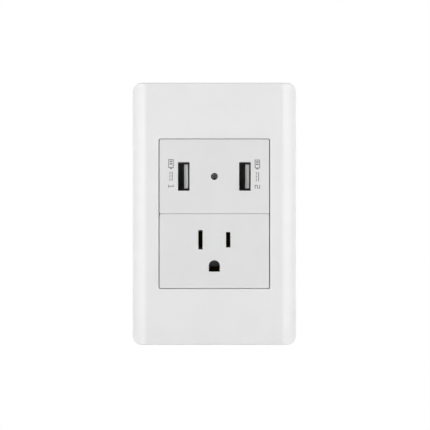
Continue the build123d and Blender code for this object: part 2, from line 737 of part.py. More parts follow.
# Transformer: two E cores glued round a bobbin with its winding, on the bobbin's feet
core_z = usb_z - CORE_DROP
core_middle = board_back - CORE_LIFT - CORE_HEIGHT / 2
window_length = CORE_LENGTH - 2 * CORE_RIM
window_rise = (CORE_HEIGHT - CORE_LEG) / 2 - CORE_RIM
with BuildPart() as transformer_core:
    with BuildSketch(level(core_z)):
        with Locations((CORE_LENGTH / 4, core_middle)):
            Rectangle(CORE_LENGTH / 2, CORE_HEIGHT)
        for end in (-1, 1):
            with Locations((window_length / 4, core_middle + end * (CORE_LEG + window_rise) / 2)):
                Rectangle(window_length / 2, window_rise, mode=Mode.SUBTRACT)
    extrude(amount=CORE_DEPTH / 2, both=True)
    mirror(about=Plane.YZ, mode=Mode.ADD)
finish(transformer_core, "transformer_core")

bobbin_length = window_length - 2 * BOBBIN_FIT
tube_height = CORE_LEG + 2 * BOBBIN_FIT + 2 * BOBBIN_WALL
tube_depth = CORE_DEPTH + 2 * BOBBIN_FIT + 2 * BOBBIN_WALL
flange_height = CORE_LEG + 2 * window_rise - 2 * BOBBIN_FIT
flange_depth = CORE_DEPTH + 2 * BOBBIN_SIDE
flange_x = (bobbin_length - BOBBIN_FLANGE) / 2
foot_depth = BOBBIN_SIDE - BOBBIN_FIT
foot_top = core_middle - flange_height / 2
with BuildPart() as transformer_bobbin:
    with BuildSketch(Plane.YZ.offset(-bobbin_length / 2)):
        with Locations((-core_middle, core_z)):
            Rectangle(tube_height, tube_depth)
    extrude(amount=bobbin_length)
    for flange_side in (-flange_x, flange_x):
        with BuildSketch(Plane.YZ.offset(flange_side)):
            with Locations((-core_middle, core_z)):
                Rectangle(flange_height, flange_depth)
            for end in (-1, 1):
                foot_z = core_z + end * (flange_depth - foot_depth) / 2
                with Locations((-(board_back + foot_top) / 2, foot_z)):
                    Rectangle(board_back - foot_top, foot_depth)
        extrude(amount=BOBBIN_FLANGE / 2, both=True)
    with BuildSketch(Plane.YZ.offset(-bobbin_length / 2)):
        with Locations((-core_middle, core_z)):
            Rectangle(CORE_LEG + 2 * BOBBIN_FIT, CORE_DEPTH + 2 * BOBBIN_FIT)
    extrude(amount=bobbin_length, mode=Mode.SUBTRACT)
finish(transformer_bobbin, "transformer_bobbin")

winding_length = bobbin_length - 2 * BOBBIN_FLANGE
with BuildPart() as transformer_winding:
    with BuildSketch(Plane.YZ.offset(-winding_length / 2)):
        with Locations((-core_middle, core_z)):
            RectangleRounded(
                tube_height + 2 * WINDING_THICKNESS,
                tube_depth + 2 * WINDING_THICKNESS,
                WINDING_THICKNESS,
            )
            Rectangle(tube_height, tube_depth, mode=Mode.SUBTRACT)
    extrude(amount=winding_length)
finish(transformer_winding, "transformer_winding")

# Other parts on the board's back: the tall ones stand clear of the wire pockets, and the low ones line
# the board's two sides
part_x = cavity_width / 2 - PART_EDGE_GAP
part_rise = cavity_height / 2 - PART_EDGE_GAP
pillar_rise = cavity_height / 2 - PILLAR_SIZE - PART_GAP
input_can_x = INPUT_CAN_DIAMETER / 2 + PART_GAP + pocket_outside / 2 - usb_terminal_x
input_can_place = (input_can_x, part_rise - INPUT_CAN_DIAMETER / 2)
output_can_x = (cavity_width - OUTPUT_CAN_DIAMETER) / 2 - PILLAR_SIZE - PART_GAP
output_can_rise = OUTPUT_CAN_DIAMETER / 2 - part_rise
output_can_places = ((-output_can_x, output_can_rise), (output_can_x, output_can_rise))
rectifier_place = (RECTIFIER_WIDTH / 2 - part_x, pillar_rise - RECTIFIER_LENGTH / 2)
chip_place = (part_x - CHIP_WIDTH / 2, pillar_rise - CHIP_LENGTH / 2)
finish(can(INPUT_CAN_DIAMETER, INPUT_CAN_HEIGHT, [input_can_place]), "input_capacitor")
finish(can(OUTPUT_CAN_DIAMETER, OUTPUT_CAN_HEIGHT, output_can_places), "output_capacitors")
finish(board_chip(RECTIFIER_WIDTH, RECTIFIER_LENGTH, RECTIFIER_HEIGHT, rectifier_place), "rectifier")
finish(board_chip(CHIP_WIDTH, CHIP_LENGTH, CHIP_HEIGHT, chip_place), "controller_chip")

choke_x = input_can_x + (INPUT_CAN_DIAMETER + CHOKE_DIAMETER) / 2 + PART_GAP
choke_place = (choke_x, part_rise - CHOKE_DIAMETER / 2)
with BuildPart() as choke:
    with BuildSketch(facing(board_back - CHOKE_HEIGHT, usb_z)):
        with Locations(choke_place):
            Circle(CHOKE_DIAMETER / 2)
    extrude(amount=CHOKE_HEIGHT)
    with BuildSketch(facing(board_back - CHOKE_HEIGHT + CHOKE_RIM, usb_z)):
        with Locations(choke_place):
            Circle(CHOKE_DIAMETER / 2)
            Circle(CHOKE_WAIST / 2, mode=Mode.SUBTRACT)
    extrude(amount=CHOKE_HEIGHT - 2 * CHOKE_RIM, mode=Mode.SUBTRACT)
finish(choke, "choke")

fuse_x = FUSE_DIAMETER / 2 - part_x
fuse_rise = pillar_rise - RECTIFIER_LENGTH - PART_GAP - FUSE_LENGTH / 2
with BuildPart() as fuse_resistor:
    with BuildSketch(level(usb_z + fuse_rise)):
        with Locations((fuse_x, board_back - FUSE_DIAMETER / 2)):
            Circle(FUSE_DIAMETER / 2)
    extrude(amount=FUSE_LENGTH / 2, both=True)
    fillet(fuse_resistor.edges().filter_by(GeomType.CIRCLE), radius=CAN_ROUND)
finish(fuse_resistor, "fuse_resistor")

disc_x = part_x - SAFETY_DISC_THICKNESS / 2
disc_rise = pillar_rise - CHIP_LENGTH - PART_GAP - SAFETY_DISC_DIAMETER / 2
with BuildPart() as safety_capacitor:
    with BuildSketch(Plane.YZ.offset(disc_x)):
        with Locations((-(board_back - SAFETY_DISC_DIAMETER / 2), usb_z + disc_rise)):
            Circle(SAFETY_DISC_DIAMETER / 2)
    extrude(amount=SAFETY_DISC_THICKNESS / 2, both=True)
    fillet(safety_capacitor.edges().filter_by(GeomType.CIRCLE), radius=CAN_ROUND)
finish(safety_capacitor, "safety_capacitor")

# USB module's wire terminals: an angled brass plate in each pocket, its leg soldered to the board
plate_back = usb_pocket_floor - STRIP_THICKNESS
for terminal_name, place, leg_place in zip(("neutral", "line"), usb_terminal_places, leg_places):
    with BuildPart() as usb_terminal:
        with BuildSketch(facing(plate_back, usb_z)):
            with Locations(place):
                Rectangle(CLAMP_SIZE, CLAMP_SIZE)
                Circle(TERMINAL_SCREW / 2 + THREAD_CLEARANCE, mode=Mode.SUBTRACT)
        extrude(amount=STRIP_THICKNESS)
        with BuildSketch(facing(plate_back, usb_z)):
            with Locations(leg_place):
                Rectangle(STRIP_THICKNESS, LEG_WIDTH)
        extrude(amount=board_front - plate_back)
    finish(usb_terminal, f"usb_{terminal_name}_terminal")

usb_plates = clamp_plates(usb_terminal_places, usb_z, plate_back)
with BuildPart() as usb_terminal_clamps:
    add(usb_plates)
finish(usb_terminal_clamps, "usb_terminal_clamps")

usb_seat = plate_back - CLAMP_THICKNESS
usb_screws = [terminal_screw(x, usb_z + rise, usb_seat) for x, rise in usb_terminal_places]
with BuildPart() as usb_terminal_screws:
    add(usb_screws)
finish(usb_terminal_screws, "usb_terminal_screws")

# Outlet module's front, with bosses for the two assembly screws
outlet_front = face_form(outlet_z)
with BuildPart() as outlet_face:
    add(outlet_front)
    with BuildSketch(facing(base_post_top + BASE_POST_GAP, outlet_z)):
        with Locations(*base_screw_places):
            Circle(BASE_POST / 2)
            Circle(BASE_SCREW / 2 + THREAD_CLEARANCE, mode=Mode.SUBTRACT)
    extrude(amount=face_back - base_post_top - BASE_POST_GAP)
    with BuildSketch(facing(face_back, blade_z)):
        with Locations((-BLADE_SPACING / 2, 0)):
            Rectangle(BLADE_SLOT_WIDTH, NEUTRAL_SLOT_HEIGHT)
        with Locations((BLADE_SPACING / 2, 0)):
            Rectangle(BLADE_SLOT_WIDTH, LINE_SLOT_HEIGHT)
    extrude(amount=FACE_WALL, mode=Mode.SUBTRACT)
    ground_radius = GROUND_HOLE_WIDTH / 2
    with BuildSketch(facing(face_back, ground_z)):
        Circle(ground_radius)
        with Locations((0, -(GROUND_HOLE_HEIGHT - ground_radius) / 2)):
            Rectangle(GROUND_HOLE_WIDTH, GROUND_HOLE_HEIGHT - ground_radius)
    extrude(amount=FACE_WALL, mode=Mode.SUBTRACT)
finish(outlet_face, "outlet_face")

# Outlet contacts, one folded brass strip each
blade_clip = (BLADE_CLIP_WIDTH, BLADE_CLIP_MOUTH, BLADE_CLIP_GRIP, BLADE_CLIP_FOOT)
ground_clip = (GROUND_CLIP_WIDTH, GROUND_CLIP_MOUTH, GROUND_CLIP_GRIP, GROUND_CLIP_FOOT)
finish(contact_strip("neutral", -BLADE_SPACING / 2, blade_z, *blade_clip), "neutral_contact")
finish(contact_strip("line", BLADE_SPACING / 2, blade_z, *blade_clip), "line_contact")
finish(contact_strip("ground", 0, ground_z, *ground_clip), "ground_contact")

# Outlet module's base: a chamber round each clip, and a hood round each terminal at the rear
chambers = [
    (-BLADE_SPACING / 2, blade_z, BLADE_CLIP_MOUTH, BLADE_CLIP_WIDTH, -1),
    (BLADE_SPACING / 2, blade_z, BLADE_CLIP_MOUTH, BLADE_CLIP_WIDTH, 1),
    (0, ground_z, GROUND_CLIP_MOUTH, GROUND_CLIP_WIDTH, 1),
]
outlet_body = body_form(outlet_z, base_back, base_floor)
with BuildPart() as outlet_base:
    add(outlet_body)
    with BuildSketch(facing(base_floor, outlet_z)):
        with Locations(*base_screw_places):
            Circle(BASE_POST / 2)
    extrude(amount=base_post_top - base_floor)
    with BuildSketch(facing(base_floor)):
        for x, z, mouth, clip_width, side in chambers:
            with Locations((x, z)):
                Rectangle(
                    mouth + 2 * (STRIP_THICKNESS + CHAMBER_GAP + CHAMBER_WALL),
                    clip_width + 2 * (CHAMBER_GAP + CHAMBER_WALL),
                )
    extrude(amount=clip_top - base_floor)
    with BuildSketch(facing(base_floor)):
        for x, z, mouth, clip_width, side in chambers:
            with Locations((x, z)):
                Rectangle(mouth + 2 * (STRIP_THICKNESS + CHAMBER_GAP), clip_width + 2 * CHAMBER_GAP)
    extrude(amount=clip_top - base_floor, mode=Mode.SUBTRACT)
    with BuildSketch(facing(base_floor)):
        for x, z, mouth, clip_width, side in chambers:
            notch_length = mouth / 2 + STRIP_THICKNESS + CHAMBER_GAP + CHAMBER_WALL
            with Locations((x + side * notch_length / 2, z)):
                Rectangle(notch_length, STRAP_WIDTH + 2 * CHAMBER_GAP)
    extrude(amount=STRIP_THICKNESS + CHAMBER_GAP, mode=Mode.SUBTRACT)
    with BuildSketch(facing(hood_back)):
        with Locations(*outlet_terminals.values()):
            Rectangle(pocket_outside, pocket_outside)
    extrude(amount=HOOD_HEIGHT)
    with BuildSketch(facing(hood_back)):
        with Locations(*outlet_terminals.values()):
            Rectangle(pocket_size, pocket_size)
    extrude(amount=base_floor - hood_back, mode=Mode.SUBTRACT)
    with BuildSketch(facing(hood_back)):
        for x, z in outlet_terminals.values():
            outward = pocket_outside / 2 if x > 0 else -pocket_outside / 2
            with Locations((x + outward, z)):
                Rectangle(pocket_outside - pocket_size, WIRE_NOTCH)
    extrude(amount=HOOD_HEIGHT, mode=Mode.SUBTRACT)
    with BuildSketch(facing(base_back, outlet_z)):
        with Locations(*base_screw_places):
            Circle(BASE_SCREW / 2 + HOLE_CLEARANCE)
    extrude(amount=base_post_top - base_back, mode=Mode.SUBTRACT)
finish(outlet_base, "outlet_base")

# Outlet terminals' clamps and screws
outlet_plates = clamp_plates(outlet_terminals.values(), 0, base_floor)
with BuildPart() as outlet_terminal_clamps:
    add(outlet_plates)
finish(outlet_terminal_clamps, "outlet_terminal_clamps")

outlet_seat = base_floor - CLAMP_THICKNESS
for terminal_name, (terminal_x, terminal_z) in outlet_terminals.items():
    one_screw = terminal_screw(terminal_x, terminal_z, outlet_seat)
    with BuildPart() as outlet_terminal_screw:
        add(one_screw)
    finish(outlet_terminal_screw, f"{terminal_name}_terminal_screw")

# Screws that hold the outlet's front to its base, driven from behind
base_screw_tip = face_back - BASE_SCREW_TIP_ROOM
with BuildPart() as outlet_assembly_screws:
    with BuildSketch(facing(base_back, outlet_z)):
        with Locations(*base_screw_places):
            Circle(BASE_SCREW_HEAD / 2)
    extrude(amount=-BASE_SCREW_HEAD_HEIGHT)
    fillet(outlet_assembly_screws.faces().group_by(Axis.Y)[-1].edges(), radius=HEAD_ROUND)
    with BuildSketch(facing(base_back, outlet_z)):
        with Locations(*base_screw_places):
            Circle(BASE_SCREW / 2)
    extrude(amount=base_screw_tip - base_back)
    with BuildSketch(facing(base_back - BASE_SCREW_HEAD_HEIGHT, outlet_z)):
        with Locations(*base_screw_places):
            Rectangle(BASE_SCREW, DRIVE_WIDTH)
            Rectangle(DRIVE_WIDTH, BASE_SCREW)
    extrude(amount=DRIVE_DEPTH, mode=Mode.SUBTRACT)
finish(outlet_assembly_screws, "outlet_assembly_screws")
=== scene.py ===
import math

import bmesh
import bpy
from mathutils import Matrix, Vector


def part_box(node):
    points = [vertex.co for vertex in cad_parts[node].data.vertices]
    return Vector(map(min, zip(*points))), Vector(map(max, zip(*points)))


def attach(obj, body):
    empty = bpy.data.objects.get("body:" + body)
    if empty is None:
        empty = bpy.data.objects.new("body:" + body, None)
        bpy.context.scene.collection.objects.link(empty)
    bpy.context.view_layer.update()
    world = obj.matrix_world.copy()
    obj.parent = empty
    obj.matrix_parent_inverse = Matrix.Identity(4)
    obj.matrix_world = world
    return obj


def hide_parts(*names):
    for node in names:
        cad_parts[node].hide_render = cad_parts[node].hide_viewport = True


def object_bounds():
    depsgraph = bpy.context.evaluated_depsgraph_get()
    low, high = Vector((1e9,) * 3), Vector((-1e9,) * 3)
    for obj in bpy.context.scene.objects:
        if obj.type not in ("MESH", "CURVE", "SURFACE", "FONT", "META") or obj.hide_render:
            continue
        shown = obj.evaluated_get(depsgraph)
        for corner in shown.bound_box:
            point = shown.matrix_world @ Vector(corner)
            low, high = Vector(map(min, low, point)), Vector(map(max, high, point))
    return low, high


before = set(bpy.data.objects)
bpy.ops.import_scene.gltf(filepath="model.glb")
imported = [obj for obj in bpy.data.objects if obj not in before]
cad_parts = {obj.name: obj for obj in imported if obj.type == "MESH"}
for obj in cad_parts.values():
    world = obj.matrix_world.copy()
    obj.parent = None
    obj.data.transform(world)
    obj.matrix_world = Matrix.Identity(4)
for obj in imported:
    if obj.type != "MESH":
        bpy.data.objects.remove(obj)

cad_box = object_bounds()


# Mounting frame: a flat moulding of stiff grey plastic that two screws hold to the wall box.
# Both modules clip into its windows, and the cover plate hooks over its top and bottom edges.
MM = 0.001
merge_gap = 0.002 * MM
flat_angle = math.radians(0.5)


def solid_copy(node):
    """A copy of a node's solids, with each flat side as one face."""
    bm = bmesh.new()
    bm.from_mesh(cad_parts[node].data)
    bmesh.ops.remove_doubles(bm, verts=bm.verts, dist=merge_gap)
    bmesh.ops.dissolve_limit(bm, angle_limit=flat_angle, verts=bm.verts, edges=bm.edges)
    return bm


def soften(bm, edges, radius, steps):
    """Rounds these edges."""
    bmesh.ops.bevel(
        bm,
        geom=edges,
        offset=radius,
        segments=steps,
        profile=0.5,
        affect="EDGES",
        clamp_overlap=False,
        material=-1,
    )


same_way = 20
sideways = 135


def has_room(edge, radius):
    """True where no edge at either end is too short for a round, or runs in nearly the same way."""
    for vert in edge.verts:
        way = edge.other_vert(vert).co - vert.co
        for other in vert.link_edges:
            turn = math.degrees(way.angle(other.other_vert(vert).co - vert.co))
            short = other.calc_length() < 2 * radius
            if other != edge and (turn < same_way or (turn < sideways and short)):
                return False
    return True


sharp_angle = math.radians(40)
fold_angle = math.radians(170)
edge_steps = 2


def soften_sharp(bm, radius):
    """Puts a small round along each sharp edge that stands out, and mends folds at tight corners."""
    sharp = [edge for edge in bm.edges if edge.is_convex and edge.calc_face_angle() > sharp_angle]
    soften(bm, [edge for edge in sharp if has_room(edge, radius)], radius, edge_steps)
    bm.normal_update()
    inner = [edge for edge in bm.edges if edge.is_manifold]
    folded = [edge for edge in inner if edge.calc_face_angle() > fold_angle]
    bmesh.ops.dissolve_edges(bm, edges=folded, use_verts=False)


def rounded_copy(node, radius):
    """A copy of a node's solids with a small round along each sharp edge."""
    bm = solid_copy(node)
    soften_sharp(bm, radius)
    return bm


def weld(bm, addition):
    """Joins an added form to a moulding, so that one closed skin goes round both."""
    bodies = []
    for form in (bm, addition):
        mesh = bpy.data.meshes.new("weld")
        form.to_mesh(mesh)
        form.free()
        body = bpy.data.objects.new("weld", mesh)
        bpy.context.scene.collection.objects.link(body)
        bodies.append(body)
    union = bodies[0].modifiers.new("union", "BOOLEAN")
    union.operation = "UNION"
    union.solver = "EXACT"
    union.object = bodies[1]
    whole = bmesh.new()
    whole.from_object(bodies[0], bpy.context.evaluated_depsgraph_get())
    for body in bodies:
        bpy.data.meshes.remove(body.data)
    bmesh.ops.remove_doubles(whole, verts=whole.verts, dist=merge_gap)
    bmesh.ops.recalc_face_normals(whole, faces=whole.faces)
    return whole


smooth_angle = math.radians(35)


def set_piece(bm, name, slot, material, *nodes):
    """Makes a piece of the mesh in place of these nodes, smooth over its rounds and flat elsewhere."""
    for face in bm.faces:
        face.smooth = True
    for edge in bm.edges:
        edge.smooth = edge.is_manifold and edge.calc_face_angle() < smooth_angle
    mesh = bpy.data.meshes.new(name)
    bm.to_mesh(mesh)
    bm.free()
    mesh.materials.append(material)
    piece = bpy.data.objects.new(name, mesh)
    bpy.context.scene.collection.objects.link(piece)
    flat_faces = piece.modifiers.new("flat_faces", "WEIGHTED_NORMAL")
    flat_faces.keep_sharp = True
    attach(piece, "root")
    if nodes:
        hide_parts(*nodes)
    return piece


def plain_finish(name, colour, roughness, metallic=0.0):
    """A material with these values on its shader, before any pattern is added."""
    material = bpy.data.materials.new(name)
    material.use_nodes = True
    shader = material.node_tree.nodes["Principled BSDF"]
    shader.inputs["Base Color"].default_value = (*colour, 1.0)
    shader.inputs["Roughness"].default_value = roughness
    shader.inputs["Metallic"].default_value = metallic
    return material


def grain(material, size, stretch=(1.0, 1.0, 1.0), detail=2.0):
    """A pattern with marks of about this size, drawn out along the three axes by these factors."""
    nodes = material.node_tree.nodes
    links = material.node_tree.links
    place = nodes.new("ShaderNodeTexCoord")
    scale = nodes.new("ShaderNodeMapping")
    scale.inputs["Scale"].default_value = [1.0 / (size * factor) for factor in stretch]
    noise = nodes.new("ShaderNodeTexNoise")
    noise.inputs["Scale"].default_value = 1.0
    noise.inputs["Detail"].default_value = detail
    links.new(place.outputs["Object"], scale.inputs["Vector"])
    links.new(scale.outputs["Vector"], noise.inputs["Vector"])
    return noise.outputs["Fac"]


def colour_between(material, pattern, first, second, low=0.35, high=0.65):
    """Colour that goes from the first shade to the second as the pattern goes from low to high."""
    nodes = material.node_tree.nodes
    links = material.node_tree.links
    ramp = nodes.new("ShaderNodeValToRGB")
    ramp.color_ramp.elements[0].position = low
    ramp.color_ramp.elements[0].color = (*first, 1.0)
    ramp.color_ramp.elements[1].position = high
    ramp.color_ramp.elements[1].color = (*second, 1.0)
    links.new(pattern, ramp.inputs["Fac"])
    links.new(ramp.outputs["Color"], nodes["Principled BSDF"].inputs["Base Color"])


pattern_low = 0.3
pattern_high = 0.7


def roughness_between(material, pattern, low, high):
    """Roughness that goes from low to high with the pattern."""
    nodes = material.node_tree.nodes
    links = material.node_tree.links
    spread = nodes.new("ShaderNodeMapRange")
    spread.inputs["From Min"].default_value = pattern_low
    spread.inputs["From Max"].default_value = pattern_high
    spread.inputs["To Min"].default_value = low
    spread.inputs["To Max"].default_value = high
    links.new(pattern, spread.inputs["Value"])
    links.new(spread.outputs["Result"], nodes["Principled BSDF"].inputs["Roughness"])


def relief(material, pattern, depth):
    """Raises and sinks the surface with the pattern, by this depth."""
    nodes = material.node_tree.nodes
    links = material.node_tree.links
    bump = nodes.new("ShaderNodeBump")
    bump.inputs["Strength"].default_value = 1.0
    bump.inputs["Distance"].default_value = depth
    links.new(pattern, bump.inputs["Height"])
    links.new(bump.outputs["Normal"], nodes["Principled BSDF"].inputs["Normal"])


def shade(colour, factor):
    """The same colour, lighter or darker."""
    return tuple(min(1.0, channel * factor) for channel in colour)


melt_cloud = 12 * MM
mould_grain = 0.3 * MM
mould_gloss = 0.06


def moulded(name, colour, roughness, depth=0.003 * MM):
    """Moulded plastic, with a faint cloud from the flow of the melt and the fine grain of the mould."""
    material = plain_finish(name, colour, roughness)
    cloud = grain(material, melt_cloud, detail=3.0)
    colour_between(material, cloud, shade(colour, 0.99), shade(colour, 1.008))
    fine = grain(material, mould_grain)
    roughness_between(material, fine, roughness - mould_gloss, roughness + mould_gloss)
    relief(material, fine, depth)
    return material


face_on = Matrix.Rotation(math.radians(90), 4, "X")
turned_steps = 32
mark_radius = 2.0 * MM
mark_depth = 0.16 * MM
mark_round = 0.05 * MM


def ejector_mark(bm, x, reach, z):
    """The faint round mark that a pin of the mould leaves at a moulding's back, a little proud of it."""
    known = set(bm.edges)
    place = Matrix.Translation((x, reach, z)) @ face_on
    bmesh.ops.create_cone(
        bm,
        cap_ends=True,
        segments=turned_steps,
        radius1=mark_radius,
        radius2=mark_radius,
        depth=mark_depth,
        matrix=place,
    )
    edges = [edge for edge in bm.edges if edge not in known]
    rim = [edge for edge in edges if edge.calc_face_angle() > sharp_angle]
    soften(bm, rim, mark_round, edge_steps)


frame_plastic = moulded("frame_plastic", (0.62, 0.63, 0.64), roughness=0.5)
frame_back = -1.2 * MM
mark_columns = (-29.5 * MM, 29.5 * MM)
mark_rows = (-46 * MM, -17 * MM, 17 * MM, 46 * MM)
moulding_round = 0.15 * MM
frame_marks = bmesh.new()
for mark_x in mark_columns:
    for mark_z in mark_rows:
        ejector_mark(frame_marks, mark_x, frame_back, mark_z)
frame_moulding = weld(solid_copy("mounting_frame"), frame_marks)
soften_sharp(frame_moulding, moulding_round)
set_piece(frame_moulding, "frame_moulding", "frame_grey", frame_plastic, "mounting_frame")


# Outlet base: a deep tray of dark thermoset that keeps the three contacts apart.
# Hoods at its back shield the terminal screws, and two screws pull it to the outlet's front.
# A raised gauge between the hoods shows how far to strip a wire.
base_plastic = moulded("base_plastic", (0.22, 0.23, 0.24), roughness=0.55, depth=0.006 * MM)
base_back = 14.3 * MM
base_marks = ((5.5 * MM, -10.5 * MM), (3.0 * MM, -27.5 * MM))
gauge_z = -18.0 * MM
gauge_relief = 0.6 * MM
gauge_round = 0.1 * MM
gauge_bars = (
    (0.0, 9.6 * MM, 0.8 * MM),
    (-5.6 * MM, 0.8 * MM, 3.0 * MM),
    (5.6 * MM, 0.8 * MM, 3.0 * MM),
)
base_relief = bmesh.new()
for bar_x, bar_width, bar_height in gauge_bars:
    bar_place = Matrix.Translation((bar_x, base_back, gauge_z))
    bar_size = Matrix.Diagonal((bar_width, gauge_relief, bar_height, 1.0))
    bmesh.ops.create_cube(base_relief, size=1.0, matrix=bar_place @ bar_size)
soften_sharp(base_relief, gauge_round)
for mark_x, mark_z in base_marks:
    ejector_mark(base_relief, mark_x, base_back, mark_z)
base_tray = weld(solid_copy("outlet_base"), base_relief)
soften_sharp(base_tray, moulding_round)
set_piece(base_tray, "base_tray", "base_grey", base_plastic, "outlet_base")


# Outlet contacts: strips of hard brass, stamped and folded into spring clips for the pins.
# Each has a strap that runs out through the base to its own terminal.
sheet_round = 0.1 * MM
tarnish_size = 3 * MM
rolled_line = 0.06 * MM
rolled_depth = 0.001 * MM


def sheet_metal(name, colour, roughness, stretch=(1.0, 30.0, 1.0)):
    """Rolled sheet, with fine lines along the way it was rolled and a slow change of tarnish."""
    material = plain_finish(name, colour, roughness, metallic=1.0)
    tarnish = grain(material, tarnish_size, detail=4.0)
    colour_between(material, tarnish, shade(colour, 0.88), shade(colour, 1.06))
    lines = grain(material, rolled_line, stretch=stretch)
    roughness_between(material, lines, roughness - 0.08, roughness + 0.12)
    relief(material, lines, rolled_depth)
    return material


strip_brass = sheet_metal("strip_brass", (0.52, 0.385, 0.16), roughness=0.42)
for contact in ("neutral_contact", "line_contact", "ground_contact"):
    clip = rounded_copy(contact, sheet_round)
    set_piece(clip, contact + "_clip", "strip_brass", strip_brass, contact)


# Outlet terminals: a square steel plate clamps each wire under a pan head screw with a cross recess.
# The screws are brass for line, bright plate for neutral and green for ground.
mottle_size = 0.8 * MM
tool_mark = 0.09 * MM
tool_depth = 0.0015 * MM


def turned_metal(name, colour, roughness, metallic=1.0):
    """Turned and plated metal, with a soft mottle and fine tool marks."""
    material = plain_finish(name, colour, roughness, metallic=metallic)
    mottle = grain(material, mottle_size, detail=4.0)
    colour_between(material, mottle, shade(colour, 0.9), shade(colour, 1.05))
    marks = grain(material, tool_mark)
    roughness_between(material, marks, roughness - 0.07, roughness + 0.1)
    relief(material, marks, tool_depth)
    return material


clamp_round = 0.12 * MM
clamp_steel = sheet_metal("clamp_steel", (0.60, 0.60, 0.58), roughness=0.38, stretch=(20.0, 1.0, 1.0))
clamps = rounded_copy("outlet_terminal_clamps", clamp_round)
set_piece(clamps, "outlet_clamps", "clamp_steel", clamp_steel, "outlet_terminal_clamps")


screw_round = 0.06 * MM
recess_corners = 12
recess_taper = 0.5
faces_back = 0.9


def driven_screw(node):
    """A copy of a node's screws, their cross recesses drawn in at the bottom like a driver's tip."""
    bm = solid_copy(node)
    for face in bm.faces:
        if len(face.verts) == recess_corners and face.normal.y > faces_back:
            middle = Matrix.Translation(-face.calc_center_median())
            bmesh.ops.scale(bm, vec=(recess_taper, 1.0, recess_taper), verts=face.verts, space=middle)
    soften_sharp(bm, screw_round)
    return bm


neutral_plate = turned_metal("neutral_plate", (0.75, 0.75, 0.75), roughness=0.25)
neutral_screw = driven_screw("neutral_terminal_screw")
set_piece(neutral_screw, "neutral_screw", "screw_silver", neutral_plate, "neutral_terminal_screw")

line_brass = turned_metal("line_brass", (0.74, 0.55, 0.24), roughness=0.28)
line_screw = driven_screw("line_terminal_screw")
set_piece(line_screw, "line_screw", "screw_brass", line_brass, "line_terminal_screw")

ground_green = turned_metal("ground_green", (0.05, 0.28, 0.12), roughness=0.35, metallic=0.6)
ground_screw = driven_screw("ground_terminal_screw")
set_piece(ground_screw, "ground_screw", "screw_green", ground_green, "ground_terminal_screw")


# Outlet assembly screws: two zinc-plated screws driven from behind through the base.
# Their threads bite in the posts of the outlet's front and hold the module together.
screw_zinc = turned_metal("screw_zinc", (0.62, 0.62, 0.60), roughness=0.3)
assembly_screws = driven_screw("outlet_assembly_screws")
set_piece(assembly_screws, "assembly_screws", "screw_zinc", screw_zinc, "outlet_assembly_screws")


# Outlet front: white moulded plastic, a flat face with two blade slots and a flat-footed ground hole.
# Its skirt slips over the base and snaps to it, and two posts at its back take the assembly screws.
face_wall = 1.8 * MM
face_round = 0.3 * MM
face_steps = 4
face_corner = 0.6 * MM
corner_steps = 8
mouth_round = 0.05 * MM
hole_steps = 40
skirt_wall = 1.2 * MM
skirt_back = -3.0 * MM
snap_middle = -4.5 * MM
snap_height = 1.5 * MM
snap_width = 7.3 * MM


def upright_loop(bm, x, z, width, height, plane, corner, top):
    """A loop of edges round an upright rectangle, with a radius for its lower and its upper corners."""
    known = set(bm.edges)
    place = Matrix.Translation((x, plane, z)) @ face_on @ Matrix.Diagonal((width, height, 1.0, 1.0))
    made = bmesh.ops.create_grid(bm, x_segments=1, y_segments=1, size=0.5, matrix=place)
    lower = [vert for vert in made["verts"] if vert.co.z < z]
    upper = [vert for vert in made["verts"] if vert.co.z > z]
    for corners, radius in ((lower, corner), (upper, top)):
        bmesh.ops.bevel(
            bm,
            geom=corners,
            offset=radius,
            segments=corner_steps,
            profile=0.5,
            affect="VERTICES",
            material=-1,
        )
    loop = [edge for edge in bm.edges if edge not in known]
    sheet = list({face for edge in loop for face in edge.link_faces})
    bmesh.ops.delete(bm, geom=sheet, context="FACES_ONLY")
    return loop


def wall_from(bm, edges, reach):
    """Draws a wall from a loop of edges straight to this depth, and gives the loop at its far end."""
    made = bmesh.ops.extrude_edge_only(bm, edges=edges)["geom"]
    far = [part for part in made if isinstance(part, bmesh.types.BMVert)]
    for vert in far:
        vert.co.y = reach
    return [edge for edge in made if isinstance(edge, bmesh.types.BMEdge) and set(edge.verts) <= set(far)]


def rim_from(bm, edges, middle, growth):
    """Draws a flat rim from a loop of edges, scaled about its middle, and gives the rim's other loop."""
    made = bmesh.ops.extrude_edge_only(bm, edges=edges)["geom"]
    far = [part for part in made if isinstance(part, bmesh.types.BMVert)]
    bmesh.ops.scale(bm, vec=(growth[0], 1.0, growth[1]), verts=far, space=Matrix.Translation(-middle))
    return [edge for edge in made if isinstance(edge, bmesh.types.BMEdge) and set(edge.verts) <= set(far)]


square_on = 0.99


def side_walls(bm, side, half):
    """The faces of a skirt's wall on one side, inside and out."""
    return [
        face
        for face in bm.faces
        if abs(face.normal.x) > square_on and face.calc_center_median().x * side > half - 2 * skirt_wall
    ]


